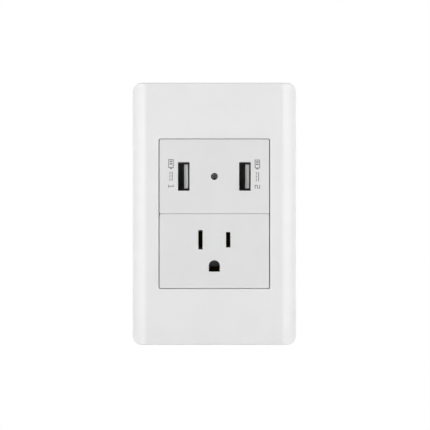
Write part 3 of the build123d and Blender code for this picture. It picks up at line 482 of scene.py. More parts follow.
def cut_snap_windows(bm, centre, half):
    """Opens a window through each side of the skirt, for the bumps of the body behind to snap into."""
    planes = (
        (Vector((0.0, snap_middle - snap_height / 2, 0.0)), Vector((0.0, 1.0, 0.0))),
        (Vector((0.0, snap_middle + snap_height / 2, 0.0)), Vector((0.0, 1.0, 0.0))),
        (Vector((0.0, 0.0, centre.z - snap_width / 2)), Vector((0.0, 0.0, 1.0))),
        (Vector((0.0, 0.0, centre.z + snap_width / 2)), Vector((0.0, 0.0, 1.0))),
    )
    for side in (-1, 1):
        for spot, normal in planes:
            walls = side_walls(bm, side, half)
            edges = list({edge for face in walls for edge in face.edges})
            verts = list({vert for face in walls for vert in face.verts})
            bmesh.ops.bisect_plane(bm, geom=walls + edges + verts, plane_co=spot, plane_no=normal)
        window = [
            face
            for face in side_walls(bm, side, half)
            if abs(face.calc_center_median().y - snap_middle) < snap_height / 2
            and abs(face.calc_center_median().z - centre.z) < snap_width / 2
        ]
        bmesh.ops.delete(bm, geom=window, context="FACES")
        rims = [edge for edge in bm.edges if edge.is_boundary]
        bmesh.ops.bridge_loops(bm, edges=rims)


def front_rim(bm, centre, half, front, step):
    """One loop of the round between a front's face, at step 0, and its skirt, at the last step."""
    turn = math.radians(90 * step / face_steps)
    inset = face_round * (1 - math.sin(turn))
    reach = front + face_round * (1 - math.cos(turn))
    corner = face_corner - inset
    width = 2 * (half.x - inset)
    height = 2 * (half.z - inset)
    return upright_loop(bm, centre.x, centre.z, width, height, reach, corner, corner)


def front_moulding(node, openings, collars):
    """A module's front as one closed moulding: its face with these openings, its skirt and snap windows.

    An opening gives its middle, width, height and corner radii, a collar its middle, radii and back.
    """
    low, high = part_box(node)
    centre = (low + high) / 2
    half = (high - low) / 2
    front = low.y
    back = front + face_wall
    bm = bmesh.new()
    outside = front_rim(bm, centre, half, front, 0)
    slots = []
    for x, z, width, height, corner, top in openings:
        slots.append(upright_loop(bm, x, z, width, height, front, corner, top))
    holes = []
    for x, z, hole, collar, collar_back in collars:
        known = set(bm.edges)
        place = Matrix.Translation((x, front, z)) @ face_on
        bmesh.ops.create_circle(bm, cap_ends=False, radius=hole, segments=hole_steps, matrix=place)
        holes.append([edge for edge in bm.edges if edge not in known])
    bmesh.ops.triangle_fill(bm, edges=bm.edges[:], use_beauty=True, normal=(0.0, -1.0, 0.0))
    for step in range(1, face_steps + 1):
        wider = front_rim(bm, centre, half, front, step)
        bmesh.ops.bridge_loops(bm, edges=outside + wider)
        outside = wider
    skirt = wall_from(bm, outside, skirt_back)
    narrowing = (1.0 - skirt_wall / half.x, 1.0 - skirt_wall / half.z)
    lining = rim_from(bm, skirt, centre, narrowing)
    behind = wall_from(bm, lining, back)
    for loop in slots:
        behind += wall_from(bm, loop, back)
    for loop, (x, z, hole, collar, collar_back) in zip(holes, collars):
        mouth = wall_from(bm, loop, collar_back)
        rim = rim_from(bm, mouth, Vector((x, 0.0, z)), (collar / hole, collar / hole))
        behind += wall_from(bm, rim, back)
    bmesh.ops.triangle_fill(bm, edges=behind, use_beauty=True, normal=(0.0, 1.0, 0.0))
    bmesh.ops.recalc_face_normals(bm, faces=bm.faces)
    cut_snap_windows(bm, centre, half.x)
    for loop in slots + holes:
        soften(bm, loop, mouth_round, edge_steps)
    bmesh.ops.recalc_face_normals(bm, faces=bm.faces)
    return bm


bore_floor = 0.5 * MM


def add_post(bm, x, z, radius, bore, start, stop):
    """Adds a round post to a moulding's back, with a bore for a screw in its end where one is given."""
    place = Matrix.Translation((x, (start + stop) / 2, z)) @ face_on
    made = bmesh.ops.create_cone(
        bm,
        cap_ends=True,
        segments=turned_steps,
        radius1=radius,
        radius2=radius,
        depth=stop - start,
        matrix=place,
    )
    faces = {face for vert in made["verts"] for face in vert.link_faces}
    end = max(faces, key=lambda face: face.calc_center_median().y)
    if bore:
        bmesh.ops.inset_individual(bm, faces=[end], thickness=radius - bore)
        pushed = bmesh.ops.extrude_discrete_faces(bm, faces=[end])["faces"][0]
        for vert in pushed.verts:
            vert.co.y = start + bore_floor


blade_x = 6.35 * MM
blade_z = -11.9 * MM
slot_width = 2.0 * MM
slot_corner = 0.05 * MM
neutral_height = 8.9 * MM
line_height = 7.0 * MM
ground_z = -23.85 * MM
ground_width = 5.1 * MM
ground_height = 5.2 * MM
ground_foot = 0.1 * MM
ground_crown = 2.545 * MM
outlet_openings = (
    (-blade_x, blade_z, slot_width, neutral_height, slot_corner, slot_corner),
    (blade_x, blade_z, slot_width, line_height, slot_corner, slot_corner),
    (0.0, ground_z, ground_width, ground_height, ground_foot, ground_crown),
)
module_plastic = moulded("module_plastic", (0.73, 0.735, 0.73), roughness=0.42)
outlet_front = front_moulding("outlet_face", outlet_openings, ())
outlet_low, outlet_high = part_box("outlet_face")
post_root = 0.3 * MM
post_start = outlet_low.y + face_wall - post_root
screw_post = 2.1 * MM
screw_bore = 1.3 * MM
screw_places = ((0.0, -5.25 * MM), (-7.45 * MM, -28.95 * MM))
screw_posts = bmesh.new()
for x, z in screw_places:
    add_post(screw_posts, x, z, screw_post, screw_bore, post_start, outlet_high.y)
outlet_front = weld(outlet_front, screw_posts)
set_piece(outlet_front, "outlet_front", "module_white", module_plastic, "outlet_face")


# Ground leaf: a thin leaf of dark springy plastic that leans into the ground hole and keeps dust out.
# Its upper end is welded to the back of the outlet's front, and it bends aside for the pin.
leaf_width = 4.7 * MM
leaf_round = 0.1 * MM
leaf_outline = ((-7.0, -19.8), (-7.0, -21.2), (-4.3, -24.2), (-3.9, -23.9), (-6.5, -21.0), (-6.5, -19.8))


def add_bar(bm, outline, start, width):
    """Adds a bar to a mesh, its outline of depths and heights drawn from this start along its width."""
    corners = [bm.verts.new((start, reach, z)) for reach, z in outline]
    side = bm.faces.new(corners)
    made = bmesh.ops.extrude_face_region(bm, geom=[side])["geom"]
    far = [part for part in made if isinstance(part, bmesh.types.BMVert)]
    bmesh.ops.translate(bm, vec=(width, 0.0, 0.0), verts=far)


leaf = bmesh.new()
add_bar(leaf, [(reach * MM, z * MM) for reach, z in leaf_outline], -leaf_width / 2, leaf_width)
bmesh.ops.recalc_face_normals(leaf, faces=leaf.faces)
soften_sharp(leaf, leaf_round)
leaf_plastic = moulded("leaf_plastic", (0.10, 0.10, 0.105), roughness=0.5)
set_piece(leaf, "ground_leaf", "base_grey", leaf_plastic)


# Charger board: green glass-fibre laminate with the charger's parts soldered to it.
# It lies on the housing's pillars, and the posts of the charger's front hold it down.
def dress(node, material):
    """Gives a node that keeps its own shape its finish."""
    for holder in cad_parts[node].material_slots:
        holder.material = material


board_mask = plain_finish("board_mask", (0.05, 0.20, 0.09), roughness=0.35)
weave = grain(board_mask, size=0.5 * MM, stretch=(1.0, 1.0, 6.0))
colour_between(board_mask, weave, (0.04, 0.17, 0.075), (0.06, 0.23, 0.105))
relief(board_mask, weave, depth=0.004 * MM)
dress("charger_board", board_mask)


# Transformer: a ferrite core glued from two halves, and a black bobbin wound and wrapped in yellow tape.
# It stands on the bobbin's feet at the back of the board.
core_ferrite = plain_finish("core_ferrite", (0.10, 0.10, 0.11), roughness=0.6)
sinter = grain(core_ferrite, size=0.4 * MM, detail=6.0)
colour_between(core_ferrite, sinter, (0.075, 0.075, 0.085), (0.12, 0.12, 0.13))
relief(core_ferrite, sinter, depth=0.02 * MM)
dress("transformer_core", core_ferrite)
dress("transformer_bobbin", moulded("bobbin_plastic", (0.03, 0.03, 0.03), roughness=0.45))

winding_tape = plain_finish("winding_tape", (0.75, 0.55, 0.08), roughness=0.3)
wraps = grain(winding_tape, size=0.5 * MM, stretch=(8.0, 8.0, 1.0))
colour_between(winding_tape, wraps, (0.66, 0.46, 0.06), (0.80, 0.60, 0.10))
relief(winding_tape, wraps, depth=0.01 * MM)
dress("transformer_winding", winding_tape)


# Small parts on the board: sleeved capacitor cans, moulded chips, a choke, a fuse resistor and a disc.
# They are soldered to the board's back, the tall ones clear of the wire pockets.
can_sleeve = moulded("can_sleeve", (0.06, 0.07, 0.10), roughness=0.3)
dress("input_capacitor", can_sleeve)
dress("output_capacitors", can_sleeve)
chip_black = moulded("chip_black", (0.02, 0.02, 0.02), roughness=0.5, depth=0.008 * MM)
dress("rectifier", chip_black)
dress("controller_chip", chip_black)
dress("choke", moulded("choke_core", (0.13, 0.12, 0.12), roughness=0.5, depth=0.01 * MM))
dress("fuse_resistor", moulded("fuse_coat", (0.10, 0.28, 0.20), roughness=0.35))
dress("safety_capacitor", moulded("disc_blue", (0.08, 0.22, 0.50), roughness=0.35))


# Charger housing: a deep white box that closes the back of the charger and clips to its front.
# A blank film label lies in the recess at its back, and two pockets hold the wire terminals.
housing_plastic = moulded("housing_plastic", (0.70, 0.70, 0.67), roughness=0.48, depth=0.005 * MM)
housing_box = rounded_copy("usb_housing", moulding_round)
set_piece(housing_box, "housing_box", "housing_white", housing_plastic, "usb_housing")

label_width = 25.4 * MM
label_height = 10.4 * MM
label_depth = 0.4 * MM
label_film = 0.1 * MM
label_corner = 0.9 * MM
label_steps = 6
label_z = 10.1 * MM
housing_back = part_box("usb_housing")[1].y
label_place = Vector((0.0, housing_back - label_depth + label_film / 2, label_z))
label_size = Matrix.Diagonal((label_width, label_film, label_height, 1.0))
label = bmesh.new()
bmesh.ops.create_cube(label, size=1.0, matrix=Matrix.Translation(label_place) @ label_size)
corners = [edge for edge in label.edges if abs((edge.verts[0].co - edge.verts[1].co).y) > label_film / 2]
bmesh.ops.bevel(
    label,
    geom=corners,
    offset=label_corner,
    segments=label_steps,
    profile=0.5,
    affect="EDGES",
    material=-1,
)
label_finish = plain_finish("label_finish", (0.80, 0.80, 0.79), roughness=0.3)
ripple = grain(label_finish, size=2.5 * MM, stretch=(3.0, 1.0, 1.0), detail=3.0)
colour_between(label_finish, ripple, (0.78, 0.78, 0.77), (0.82, 0.82, 0.81))
relief(label_finish, ripple, depth=0.02 * MM)
set_piece(label, "label_film", "housing_white", label_finish)


# Charger terminals: an angled brass foot in each pocket of the housing, its leg soldered to the board.
# A square steel plate under a zinc-plated screw clamps the wire on it.
for terminal in ("usb_neutral_terminal", "usb_line_terminal"):
    foot = rounded_copy(terminal, sheet_round)
    set_piece(foot, terminal + "_foot", "strip_brass", strip_brass, terminal)
charger_clamps = rounded_copy("usb_terminal_clamps", clamp_round)
set_piece(charger_clamps, "charger_clamps", "clamp_steel", clamp_steel, "usb_terminal_clamps")
charger_screws = driven_screw("usb_terminal_screws")
set_piece(charger_screws, "charger_screws", "screw_zinc", screw_zinc, "usb_terminal_screws")


# Charging ports: a folded steel shell round a plastic tongue that carries four gilt contacts.
# The shells stand on the board, with their mouths just behind the openings in the front.
port_round = 0.05 * MM
# Painted shade on the tongue: its colour goes from pale at its tip to dark deeper in the port, where
# shade falls.
shade_start = 0.3 * MM
shade_end = 1.6 * MM
port_steel = sheet_metal("port_steel", (0.36, 0.365, 0.37), roughness=0.42)
tongue_plastic = moulded("tongue_plastic", (0.60, 0.61, 0.61), roughness=0.4)
tongue_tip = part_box("left_usb_tongue")[0].y
nodes = tongue_plastic.node_tree.nodes
links = tongue_plastic.node_tree.links
spot = nodes.new("ShaderNodeTexCoord")
depth = nodes.new("ShaderNodeSeparateXYZ")
links.new(spot.outputs["Object"], depth.inputs["Vector"])
painted_depth_shade = nodes.new("ShaderNodeMapRange")
painted_depth_shade.inputs["From Min"].default_value = tongue_tip + shade_start
painted_depth_shade.inputs["From Max"].default_value = tongue_tip + shade_end
links.new(depth.outputs["Y"], painted_depth_shade.inputs["Value"])
# The pale tip and the dark root of the tongue are painted light and painted shade, not the plastic's own
# colour.
tongue_painted_lit = (0.74, 0.75, 0.75)
tongue_painted_shade = (0.26, 0.265, 0.27)
colour_between(tongue_plastic, painted_depth_shade.outputs["Result"], tongue_painted_lit, tongue_painted_shade, 0.0, 1.0)
contact_gilt = turned_metal("contact_gilt", (0.80, 0.62, 0.28), roughness=0.25)
for side in ("left", "right"):
    shell = rounded_copy(side + "_usb_shell", port_round)
    set_piece(shell, side + "_port_shell", "port_steel", port_steel, side + "_usb_shell")
    tongue = rounded_copy(side + "_usb_tongue", port_round)
    set_piece(tongue, side + "_port_tongue", "tongue_white", tongue_plastic, side + "_usb_tongue")
    blades = rounded_copy(side + "_usb_contacts", port_round)
    set_piece(blades, side + "_port_contacts", "contact_gold", contact_gilt, side + "_usb_contacts")


# Indicator lamp: a clear resin lens with a round nose, moulded over a cup and a post of tinned steel.
# It is pushed into a collar of the front from behind, and its two leads are soldered to the board.
lamp_radius = 1.5 * MM
lamp_rim = 0.4 * MM
lamp_rim_height = 1.0 * MM
nose_round = 1.45 * MM
nose_steps = 12
lamp_low, lamp_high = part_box("indicator_lamp")
lamp_axis = Vector(((lamp_low.x + lamp_high.x) / 2, 0.0, (lamp_low.z + lamp_high.z) / 2))
lamp_tip = lamp_low.y
lamp_seat = lamp_high.y
lamp_shoulder = lamp_seat - lamp_rim_height
lens = bmesh.new()
outline = (
    (0.0, lamp_tip),
    (lamp_radius, lamp_tip),
    (lamp_radius, lamp_shoulder),
    (lamp_radius + lamp_rim, lamp_shoulder),
    (lamp_radius + lamp_rim, lamp_seat),
    (0.0, lamp_seat),
)
points = [lens.verts.new(lamp_axis + Vector((radius, reach, 0.0))) for radius, reach in outline]
edges = [lens.edges.new(pair) for pair in zip(points, points[1:])]
bmesh.ops.spin(
    lens,
    geom=points + edges,
    cent=lamp_axis,
    axis=(0.0, 1.0, 0.0),
    angle=math.radians(360),
    steps=hole_steps,
    use_merge=True,
)
bmesh.ops.remove_doubles(lens, verts=lens.verts, dist=merge_gap)
bmesh.ops.recalc_face_normals(lens, faces=lens.faces)


rim_gap = 0.02 * MM


def rim_edges(bm, axis, radius, reach):
    """The edges of a turned rim with this radius about the axis, at this place along it."""
    found = []
    for edge in bm.edges:
        away = [vert.co - axis for vert in edge.verts]
        if all(abs(part.y - reach) < rim_gap for part in away):
            if all(abs(math.hypot(part.x, part.z) - radius) < rim_gap for part in away):
                found.append(edge)
    return found


nose = rim_edges(lens, lamp_axis, lamp_radius, lamp_tip)
bmesh.ops.bevel(
    lens, geom=nose, offset=nose_round, segments=nose_steps, profile=0.5, affect="EDGES", material=-1
)
lens_resin = plain_finish("lens_resin", (0.62, 0.63, 0.65), roughness=0.06)
resin_shader = lens_resin.node_tree.nodes["Principled BSDF"]
resin_shader.inputs["Transmission Weight"].default_value = 0.92
resin_shader.inputs["IOR"].default_value = 1.53
swirl = grain(lens_resin, size=1.1 * MM, detail=2.0)
colour_between(lens_resin, swirl, (0.58, 0.59, 0.61), (0.66, 0.67, 0.68))
set_piece(lens, "lamp_lens", "lamp_clear", lens_resin, "indicator_lamp")

lead_tin = turned_metal("lead_tin", (0.66, 0.66, 0.65), roughness=0.3)
dress("indicator_leads", lead_tin)
cup_top = lamp_tip + 2.0 * MM
cup_x = -0.38 * MM
cup_z = 0.12 * MM
cup_height = 0.6 * MM
cup_foot = 0.42 * MM
cup_brim = 0.62 * MM
cup_steps = 24
cup_rim = 0.04 * MM
cup_slope = 0.08 * MM
cup_hollow = 0.3 * MM
cup_place = lamp_axis + Vector((cup_x, cup_top + cup_height / 2, cup_z))
anvil = bmesh.new()
bmesh.ops.create_cone(
    anvil,
    cap_ends=True,
    segments=cup_steps,
    radius1=cup_foot,
    radius2=cup_brim,
    depth=cup_height,
    matrix=Matrix.Translation(cup_place) @ face_on,
)
cup_mouth = min(anvil.faces, key=lambda face: face.calc_center_median().y)
bmesh.ops.inset_individual(anvil, faces=[cup_mouth], thickness=cup_rim)
bmesh.ops.inset_individual(anvil, faces=[cup_mouth], thickness=cup_slope)
for vert in cup_mouth.verts:
    vert.co.y += cup_hollow
stem_sheet = 0.45 * MM
stem_sizes = ((-0.55 * MM, 0.9 * MM, 0.55 * MM), (0.85 * MM, 0.5 * MM, 0.2 * MM))
stems = bmesh.new()
for stem_x, stem_width, stem_top in stem_sizes:
    stem_front = cup_top + stem_top
    stem_middle = (stem_front + lamp_seat) / 2
    stem_place = lamp_axis + Vector((stem_x, stem_middle, 0.0))
    stem_size = Matrix.Diagonal((stem_width, lamp_seat - stem_front, stem_sheet, 1.0))
    bmesh.ops.create_cube(stems, size=1.0, matrix=Matrix.Translation(stem_place) @ stem_size)
set_piece(weld(anvil, stems), "lamp_anvil", "lead_tin", lead_tin)


# Charger front: the same white moulding as the outlet's, with two port openings and a hole for the lamp.
# A collar behind the hole holds the lamp, and four posts press the board on the housing's pillars.
port_x = 14.0 * MM
port_z = 17.1 * MM
port_width = 5.34 * MM
port_height = 13.1 * MM
port_corner = 0.3 * MM
port_openings = (
    (-port_x, port_z, port_width, port_height, port_corner, port_corner),
    (port_x, port_z, port_width, port_height, port_corner, port_corner),
)
lamp_hole = 1.6 * MM
collar_radius = 2.8 * MM
lamp_collar = (lamp_axis.x, lamp_axis.z, lamp_hole, collar_radius, lamp_shoulder)
charger_front = front_moulding("usb_face", port_openings, (lamp_collar,))
charger_low, charger_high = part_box("usb_face")
post_start = charger_low.y + face_wall - post_root
board_post = 1.5 * MM
post_aside = 19.35 * MM
post_rise = 12.35 * MM
board_posts = bmesh.new()
for side in (-1, 1):
    for end in (-1, 1):
        post_x = side * post_aside
        post_z = port_z + end * post_rise
        add_post(board_posts, post_x, post_z, board_post, 0.0, post_start, charger_high.y)
charger_front = weld(charger_front, board_posts)
set_piece(charger_front, "charger_front", "module_white", module_plastic, "usb_face")


# Printed marks: one beside each port, in thin grey ink that was pad-printed on the finished front.
# Each shows a battery, the sign for direct current and the port's number, read from the top down.
ink_depth = 0.004 * MM
charger_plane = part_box("usb_face")[0].y
ink_grey = plain_finish("ink_grey", (0.19, 0.195, 0.20), roughness=0.6)
speckle = grain(ink_grey, size=0.15 * MM, detail=3.0)
colour_between(ink_grey, speckle, (0.15, 0.155, 0.16), (0.25, 0.255, 0.26))


def ink_bar(bm, centre, along, across):
    """One printed bar, from its ends down the mark and its sides, in millimetres from the middle."""
    length = (along[1] - along[0]) * MM
    width = (across[1] - across[0]) * MM
    down = (along[0] + along[1]) / 2 * MM
    right = (across[0] + across[1]) / 2 * MM
    place = centre + Vector((right, 0.0, -down))
    size = Matrix.Diagonal((width, 2 * ink_depth, length, 1.0))
    bmesh.ops.create_cube(bm, size=1.0, matrix=Matrix.Translation(place) @ size)


line = 0.36
signs = (
    ((-7.0, -7.0 + line), (-1.2, 1.2)),
    ((-3.0 - line, -3.0), (-1.2, 1.2)),
    ((-7.0 + line, -3.0 - line), (-1.2, -1.2 + line)),
    ((-7.0 + line, -3.0 - line), (1.2 - line, 1.2)),
    ((-3.0, -2.5), (-0.5, 0.5)),
    ((-6.3, -5.6), (-0.55, 0.55)),
    ((-5.2, -4.5), (-0.55, 0.55)),
    ((-1.3, 2.9), (0.35, 0.35 + line)),
    ((-1.3, -0.2), (-0.65, -0.65 + line)),
    ((0.25, 1.35), (-0.65, -0.65 + line)),
    ((1.8, 2.9), (-0.65, -0.65 + line)),
)
figures = {
    "1": (
        ((5.4 - line / 2, 5.4 + line / 2), (-1.2 + line, 1.2)),
        ((4.7, 5.4 - line / 2), (1.2 - line, 1.2)),
        ((4.7, 6.1), (-1.2, -1.2 + line)),
    ),
    "2": (
        ((4.6, 6.2), (1.2 - line, 1.2)),
        ((6.2 - line, 6.2), (line / 2, 1.2 - line)),
        ((4.6, 6.2), (-line / 2, line / 2)),
        ((4.6, 4.6 + line), (-1.2 + line, -line / 2)),
        ((4.6, 6.2), (-1.2, -1.2 + line)),
    ),
}
mark_places = (("1", -19.84 * MM, 18.0 * MM), ("2", 19.7 * MM, 17.8 * MM))
for number, mark_x, mark_z in mark_places:
    centre = Vector((mark_x, charger_plane, mark_z))
    mark = bmesh.new()
    for along, across in signs + figures[number]:
        ink_bar(mark, centre, along, across)
    set_piece(mark, "port_mark_" + number, "base_grey", ink_grey)


# Cover plate: a hollow moulding of white plastic with a curved strip down each long side.
# Four hooks inside its ends catch behind the frame, and a lip round its window reaches back to the frame.
cover_wall = 2.0 * MM
cover_corner = 4.2 * MM
cover_round = 0.12 * MM
end_round = 0.6 * MM
strip_steps = 8
turn_steps = 10
end_steps = 4
window_width = 51.0 * MM
window_height = 68.8 * MM
window_corner = 0.85 * MM
lip_wall = 1.4 * MM
lip_back = -3.1 * MM
strip_arcs = (
    (30.131 * MM, -4.0 * MM, 4.5 * MM, 0.0, 25.4),
    (21.803 * MM, 13.499 * MM, 23.88 * MM, 25.4, 38.8),
    (35.5 * MM, -3.558 * MM, 2.0 * MM, 38.8, 90.0),
)
cover_low, cover_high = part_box("cover_plate")
cut_gap = 0.0001 * MM


def shave(bm, way, distance):
    """Cuts off what stands beyond a plane, given by its way out and its distance, and closes the cut."""
    everything = bm.verts[:] + bm.edges[:] + bm.faces[:]
    made = bmesh.ops.bisect_plane(
        bm, geom=everything, dist=cut_gap, plane_co=way * distance, plane_no=way, clear_outer=True
    )
    rim = [part for part in made["geom_cut"] if isinstance(part, bmesh.types.BMEdge)]
    if rim:
        bmesh.ops.edgeloop_fill(bm, edges=rim)


def round_planes(middle, radius, first_way, last_way, steps):
    """The planes that touch a round about a middle, as it turns from the first way to the last."""
    planes = []
    for step in range(steps):
        way = first_way.slerp(last_way, (step + 0.5) / steps)
        planes.append((way, way.dot(middle) + radius))
    return planes


def round_between(first, second, radius, steps):
    """The planes of a round that touches two planes from inside."""
    first_way, first_distance = first
    second_way, second_distance = second
    slant = first_way.dot(second_way)
    first_depth = first_distance - radius
    second_depth = second_distance - radius
    along_second = (second_depth - slant * first_depth) / (1 - slant * slant)
    along_first = first_depth - slant * along_second
    middle = first_way * along_first + second_way * along_second
    return round_planes(middle, radius, first_way, second_way, steps)


def plate_form(inset):
    """The cover's outside, or with an inset its hollow, shaved from a block."""
    low = cover_low + Vector((inset, inset, inset))
    high = cover_high - Vector((inset, 0.0, inset))
    bm = bmesh.new()
    size = Matrix.Diagonal((*(high - low), 1.0))
    bmesh.ops.create_cube(bm, size=1.0, matrix=Matrix.Translation((low + high) / 2) @ size)
    ahead = Vector((0.0, -1.0, 0.0))
    corner_x = cover_high.x - cover_corner
    corner_z = cover_high.z - cover_corner
    for side in (-1, 1):
        aside = Vector((side, 0.0, 0.0))
        fronts = [(ahead, -low.y)]
        for x, y, radius, first, last in strip_arcs:
            if radius > inset:
                first_way = ahead.slerp(aside, first / 90)
                last_way = ahead.slerp(aside, last / 90)
                middle = Vector((side * x, y, 0.0))
                fronts += round_planes(middle, radius - inset, first_way, last_way, strip_steps)
        for end in (-1, 1):
            endways = Vector((0.0, 0.0, end))
            corner = Vector((side * corner_x, 0.0, end * corner_z))
            walls = [(endways, high.z)]
            walls += round_planes(corner, cover_corner - inset, aside, endways, turn_steps)
            for way, distance in fronts + walls:
                shave(bm, way, distance)
            if end_round > inset:
                for front in fronts:
                    for wall in walls:
                        for way, distance in round_between(front, wall, end_round, end_steps):
                            shave(bm, way, distance)
    return bm


depth_gap = 0.001 * MM


def edges_at(bm, reach):
    """Takes off the flat faces at this depth and gives the edges that lie there."""
    flat = [face for face in bm.faces if all(abs(vert.co.y - reach) < depth_gap for vert in face.verts)]
    bmesh.ops.delete(bm, geom=flat, context="FACES_ONLY")
    return [edge for edge in bm.edges if all(abs(vert.co.y - reach) < depth_gap for vert in edge.verts)]


cover = plate_form(0.0)
hollow = plate_form(cover_wall)
hollow_mesh = bpy.data.meshes.new("hollow")
hollow.to_mesh(hollow_mesh)
hollow.free()
cover.from_mesh(hollow_mesh)
bpy.data.meshes.remove(hollow_mesh)

plate_inside = cover_low.y + cover_wall
rear_rims = edges_at(cover, cover_high.y)
bmesh.ops.triangle_fill(cover, edges=rear_rims, use_beauty=True, normal=(0.0, 1.0, 0.0))
plate_rim = edges_at(cover, cover_low.y)
window = upright_loop(
    cover, 0.0, 0.0, window_width, window_height, cover_low.y, window_corner, window_corner
)
bmesh.ops.triangle_fill(cover, edges=plate_rim + window, use_beauty=True, normal=(0.0, -1.0, 0.0))
inner_rim = edges_at(cover, plate_inside)
lip_end = wall_from(cover, window, lip_back)
lip_growth = (1.0 + 2 * lip_wall / window_width, 1.0 + 2 * lip_wall / window_height)
lip_rim = rim_from(cover, lip_end, Vector((0.0, 0.0, 0.0)), lip_growth)
lip_root = wall_from(cover, lip_rim, plate_inside)
bmesh.ops.triangle_fill(cover, edges=inner_rim + lip_root, use_beauty=True, normal=(0.0, 1.0, 0.0))

bmesh.ops.recalc_face_normals(cover, faces=cover.faces)
bmesh.ops.dissolve_limit(cover, angle_limit=flat_angle, verts=cover.verts, edges=cover.edges)
soften_sharp(cover, cover_round)

hook_width = 8.0 * MM
hook_spacing = 40.0 * MM
hook_gap = 0.15 * MM
hook_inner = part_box("mounting_frame")[1].z + hook_gap
hook_outline = ((-6.8, 0.0), (-6.8, 1.5), (-0.35, 1.5), (-0.35, 0.0), (-1.05, -0.9), (-1.05, 0.0))
hooks = bmesh.new()
for side in (-1, 1):
    for end in (-1, 1):
        hook = [(reach * MM, end * (hook_inner + out * MM)) for reach, out in hook_outline]
        add_bar(hooks, hook, (side * hook_spacing - hook_width) / 2, hook_width)
bmesh.ops.recalc_face_normals(hooks, faces=hooks.faces)
soften_sharp(hooks, cover_round)
cover = weld(cover, hooks)
cover_plastic = moulded("cover_plastic", (0.787, 0.787, 0.787), roughness=0.42)
set_piece(cover, "cover_shell", "cover_white", cover_plastic, "cover_plate")


# Studio: a plain pale floor and a white surround, two soft lamps in front, two behind and one overhead.
# The floor is white to the eye at its rim and keeps the object's shadow towards its middle.
floor_radius = 0.5
floor_height = -0.135
shadow_reach = 0.2
white_reach = 0.48
shadow_white = 0.3
floor_finish = plain_finish("floor_finish", (0.8, 0.8, 0.8), roughness=0.8)
nodes = floor_finish.node_tree.nodes
links = floor_finish.node_tree.links
spot = nodes.new("ShaderNodeTexCoord")
from_middle = nodes.new("ShaderNodeVectorMath")
from_middle.operation = "LENGTH"
links.new(spot.outputs["Object"], from_middle.inputs[0])
fade = nodes.new("ShaderNodeMapRange")
fade.inputs["From Min"].default_value = shadow_reach
fade.inputs["From Max"].default_value = white_reach
fade.inputs["To Min"].default_value = shadow_white
links.new(from_middle.outputs["Value"], fade.inputs["Value"])
ray = nodes.new("ShaderNodeLightPath")
whiteness = nodes.new("ShaderNodeMath")
whiteness.operation = "MULTIPLY"
links.new(ray.outputs["Is Camera Ray"], whiteness.inputs[0])
links.new(fade.outputs["Result"], whiteness.inputs[1])
white_floor = nodes.new("ShaderNodeEmission")
white_floor.inputs["Color"].default_value = (1.0, 1.0, 1.0, 1.0)
white_floor.inputs["Strength"].default_value = 1.0
blend = nodes.new("ShaderNodeMixShader")
links.new(whiteness.outputs["Value"], blend.inputs["Fac"])
links.new(nodes["Principled BSDF"].outputs["BSDF"], blend.inputs[1])
links.new(white_floor.outputs["Emission"], blend.inputs[2])
links.new(blend.outputs["Shader"], nodes["Material Output"].inputs["Surface"])

floor_bm = bmesh.new()
floor_place = Matrix.Translation((0.0, 0.0, floor_height))
bmesh.ops.create_circle(floor_bm, cap_ends=True, radius=floor_radius, segments=96, matrix=floor_place)
floor_mesh = bpy.data.meshes.new("studio_floor")
floor_bm.to_mesh(floor_mesh)
floor_bm.free()
floor_mesh.materials.append(floor_finish)
studio_floor = bpy.data.objects.new("studio_floor", floor_mesh)
bpy.context.scene.collection.objects.link(studio_floor)

front_edge = -0.45
back_edge = 0.8
front_level = 0.02
matte_level = 0.25
surround = bpy.data.worlds.new("surround")
surround.use_nodes = True
nodes = surround.node_tree.nodes
links = surround.node_tree.links
ray = nodes.new("ShaderNodeLightPath")
outlook = nodes.new("ShaderNodeTexCoord")
outlook_parts = nodes.new("ShaderNodeSeparateXYZ")
links.new(outlook.outputs["Generated"], outlook_parts.inputs["Vector"])
dim_front = nodes.new("ShaderNodeMapRange")
dim_front.inputs["From Min"].default_value = front_edge
dim_front.inputs["From Max"].default_value = back_edge
dim_front.inputs["To Min"].default_value = front_level
dim_front.inputs["To Max"].default_value = 1.0
links.new(outlook_parts.outputs["Y"], dim_front.inputs["Value"])
mirrored = nodes.new("ShaderNodeMath")
mirrored.operation = "MAXIMUM"
links.new(ray.outputs["Is Glossy Ray"], mirrored.inputs[0])
links.new(ray.outputs["Is Transmission Ray"], mirrored.inputs[1])
level = nodes.new("ShaderNodeMapRange")
level.inputs["To Min"].default_value = matte_level
level.inputs["To Max"].default_value = 1.0
links.new(mirrored.outputs["Value"], level.inputs["Value"])
room_strength = nodes.new("ShaderNodeMath")
room_strength.operation = "MULTIPLY"
links.new(dim_front.outputs["Result"], room_strength.inputs[0])
links.new(level.outputs["Result"], room_strength.inputs[1])
room_light = nodes["Background"]
room_light.inputs["Color"].default_value = (1.0, 1.0, 1.0, 1.0)
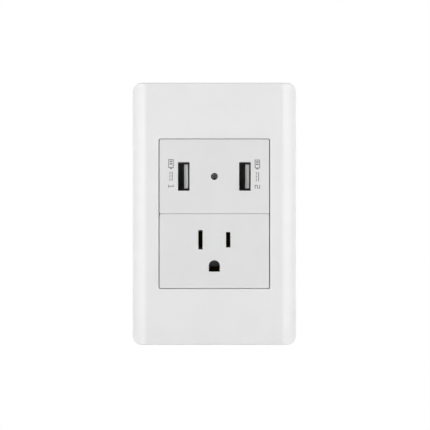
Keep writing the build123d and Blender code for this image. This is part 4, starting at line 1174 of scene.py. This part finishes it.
links.new(room_strength.outputs["Value"], room_light.inputs["Strength"])
white_back = nodes.new("ShaderNodeBackground")
white_back.inputs["Color"].default_value = (1.0, 1.0, 1.0, 1.0)
white_back.inputs["Strength"].default_value = 1.0
choice = nodes.new("ShaderNodeMixShader")
links.new(ray.outputs["Is Camera Ray"], choice.inputs["Fac"])
links.new(room_light.outputs["Background"], choice.inputs[1])
links.new(white_back.outputs["Background"], choice.inputs[2])
links.new(choice.outputs["Shader"], nodes["World Output"].inputs["Surface"])
bpy.context.scene.world = surround

lamp_distance = 0.65
softbox_width = 0.2
softbox_height = 0.7
softboxes = ((-57, 3, 4.3), (57, 3, 4.3), (-170, 3, 1.6), (170, 3, 1.6), (180, 82, 0.9))
for bearing, rise, power in softboxes:
    softbox = bpy.data.lights.new("softbox", "AREA")
    softbox.shape = "RECTANGLE"
    softbox.size = softbox_width
    softbox.size_y = softbox_height
    softbox.energy = power
    stand = bpy.data.objects.new("softbox", softbox)
    stand.visible_glossy = abs(bearing) < 90
    level_way = Vector((math.sin(math.radians(bearing)), -math.cos(math.radians(bearing)), 0.0))
    way = level_way * math.cos(math.radians(rise)) + Vector((0.0, 0.0, math.sin(math.radians(rise))))
    turn = (-way).to_track_quat("-Z", "Y")
    stand.matrix_world = Matrix.Translation(way * lamp_distance) @ turn.to_matrix().to_4x4()
    bpy.context.scene.collection.objects.link(stand)


# Camera: level with the plate and straight in front of it, with a long lens.
camera_distance = 1.5
camera_right = 0.00031
camera_down = 0.00055
picture_width = 0.1968
sensor_width = 36.0
camera = bpy.data.cameras.new("camera")
camera.sensor_width = sensor_width
camera.lens = sensor_width * camera_distance / picture_width
camera.clip_end = 10.0
eye = bpy.data.objects.new("camera", camera)
eye.location = (camera_right, cad_box[0].y - camera_distance, -camera_down)
eye.rotation_euler = (math.radians(90), 0.0, 0.0)
bpy.context.scene.collection.objects.link(eye)
bpy.context.scene.camera = eye
bpy.context.scene.view_settings.view_transform = "Standard"
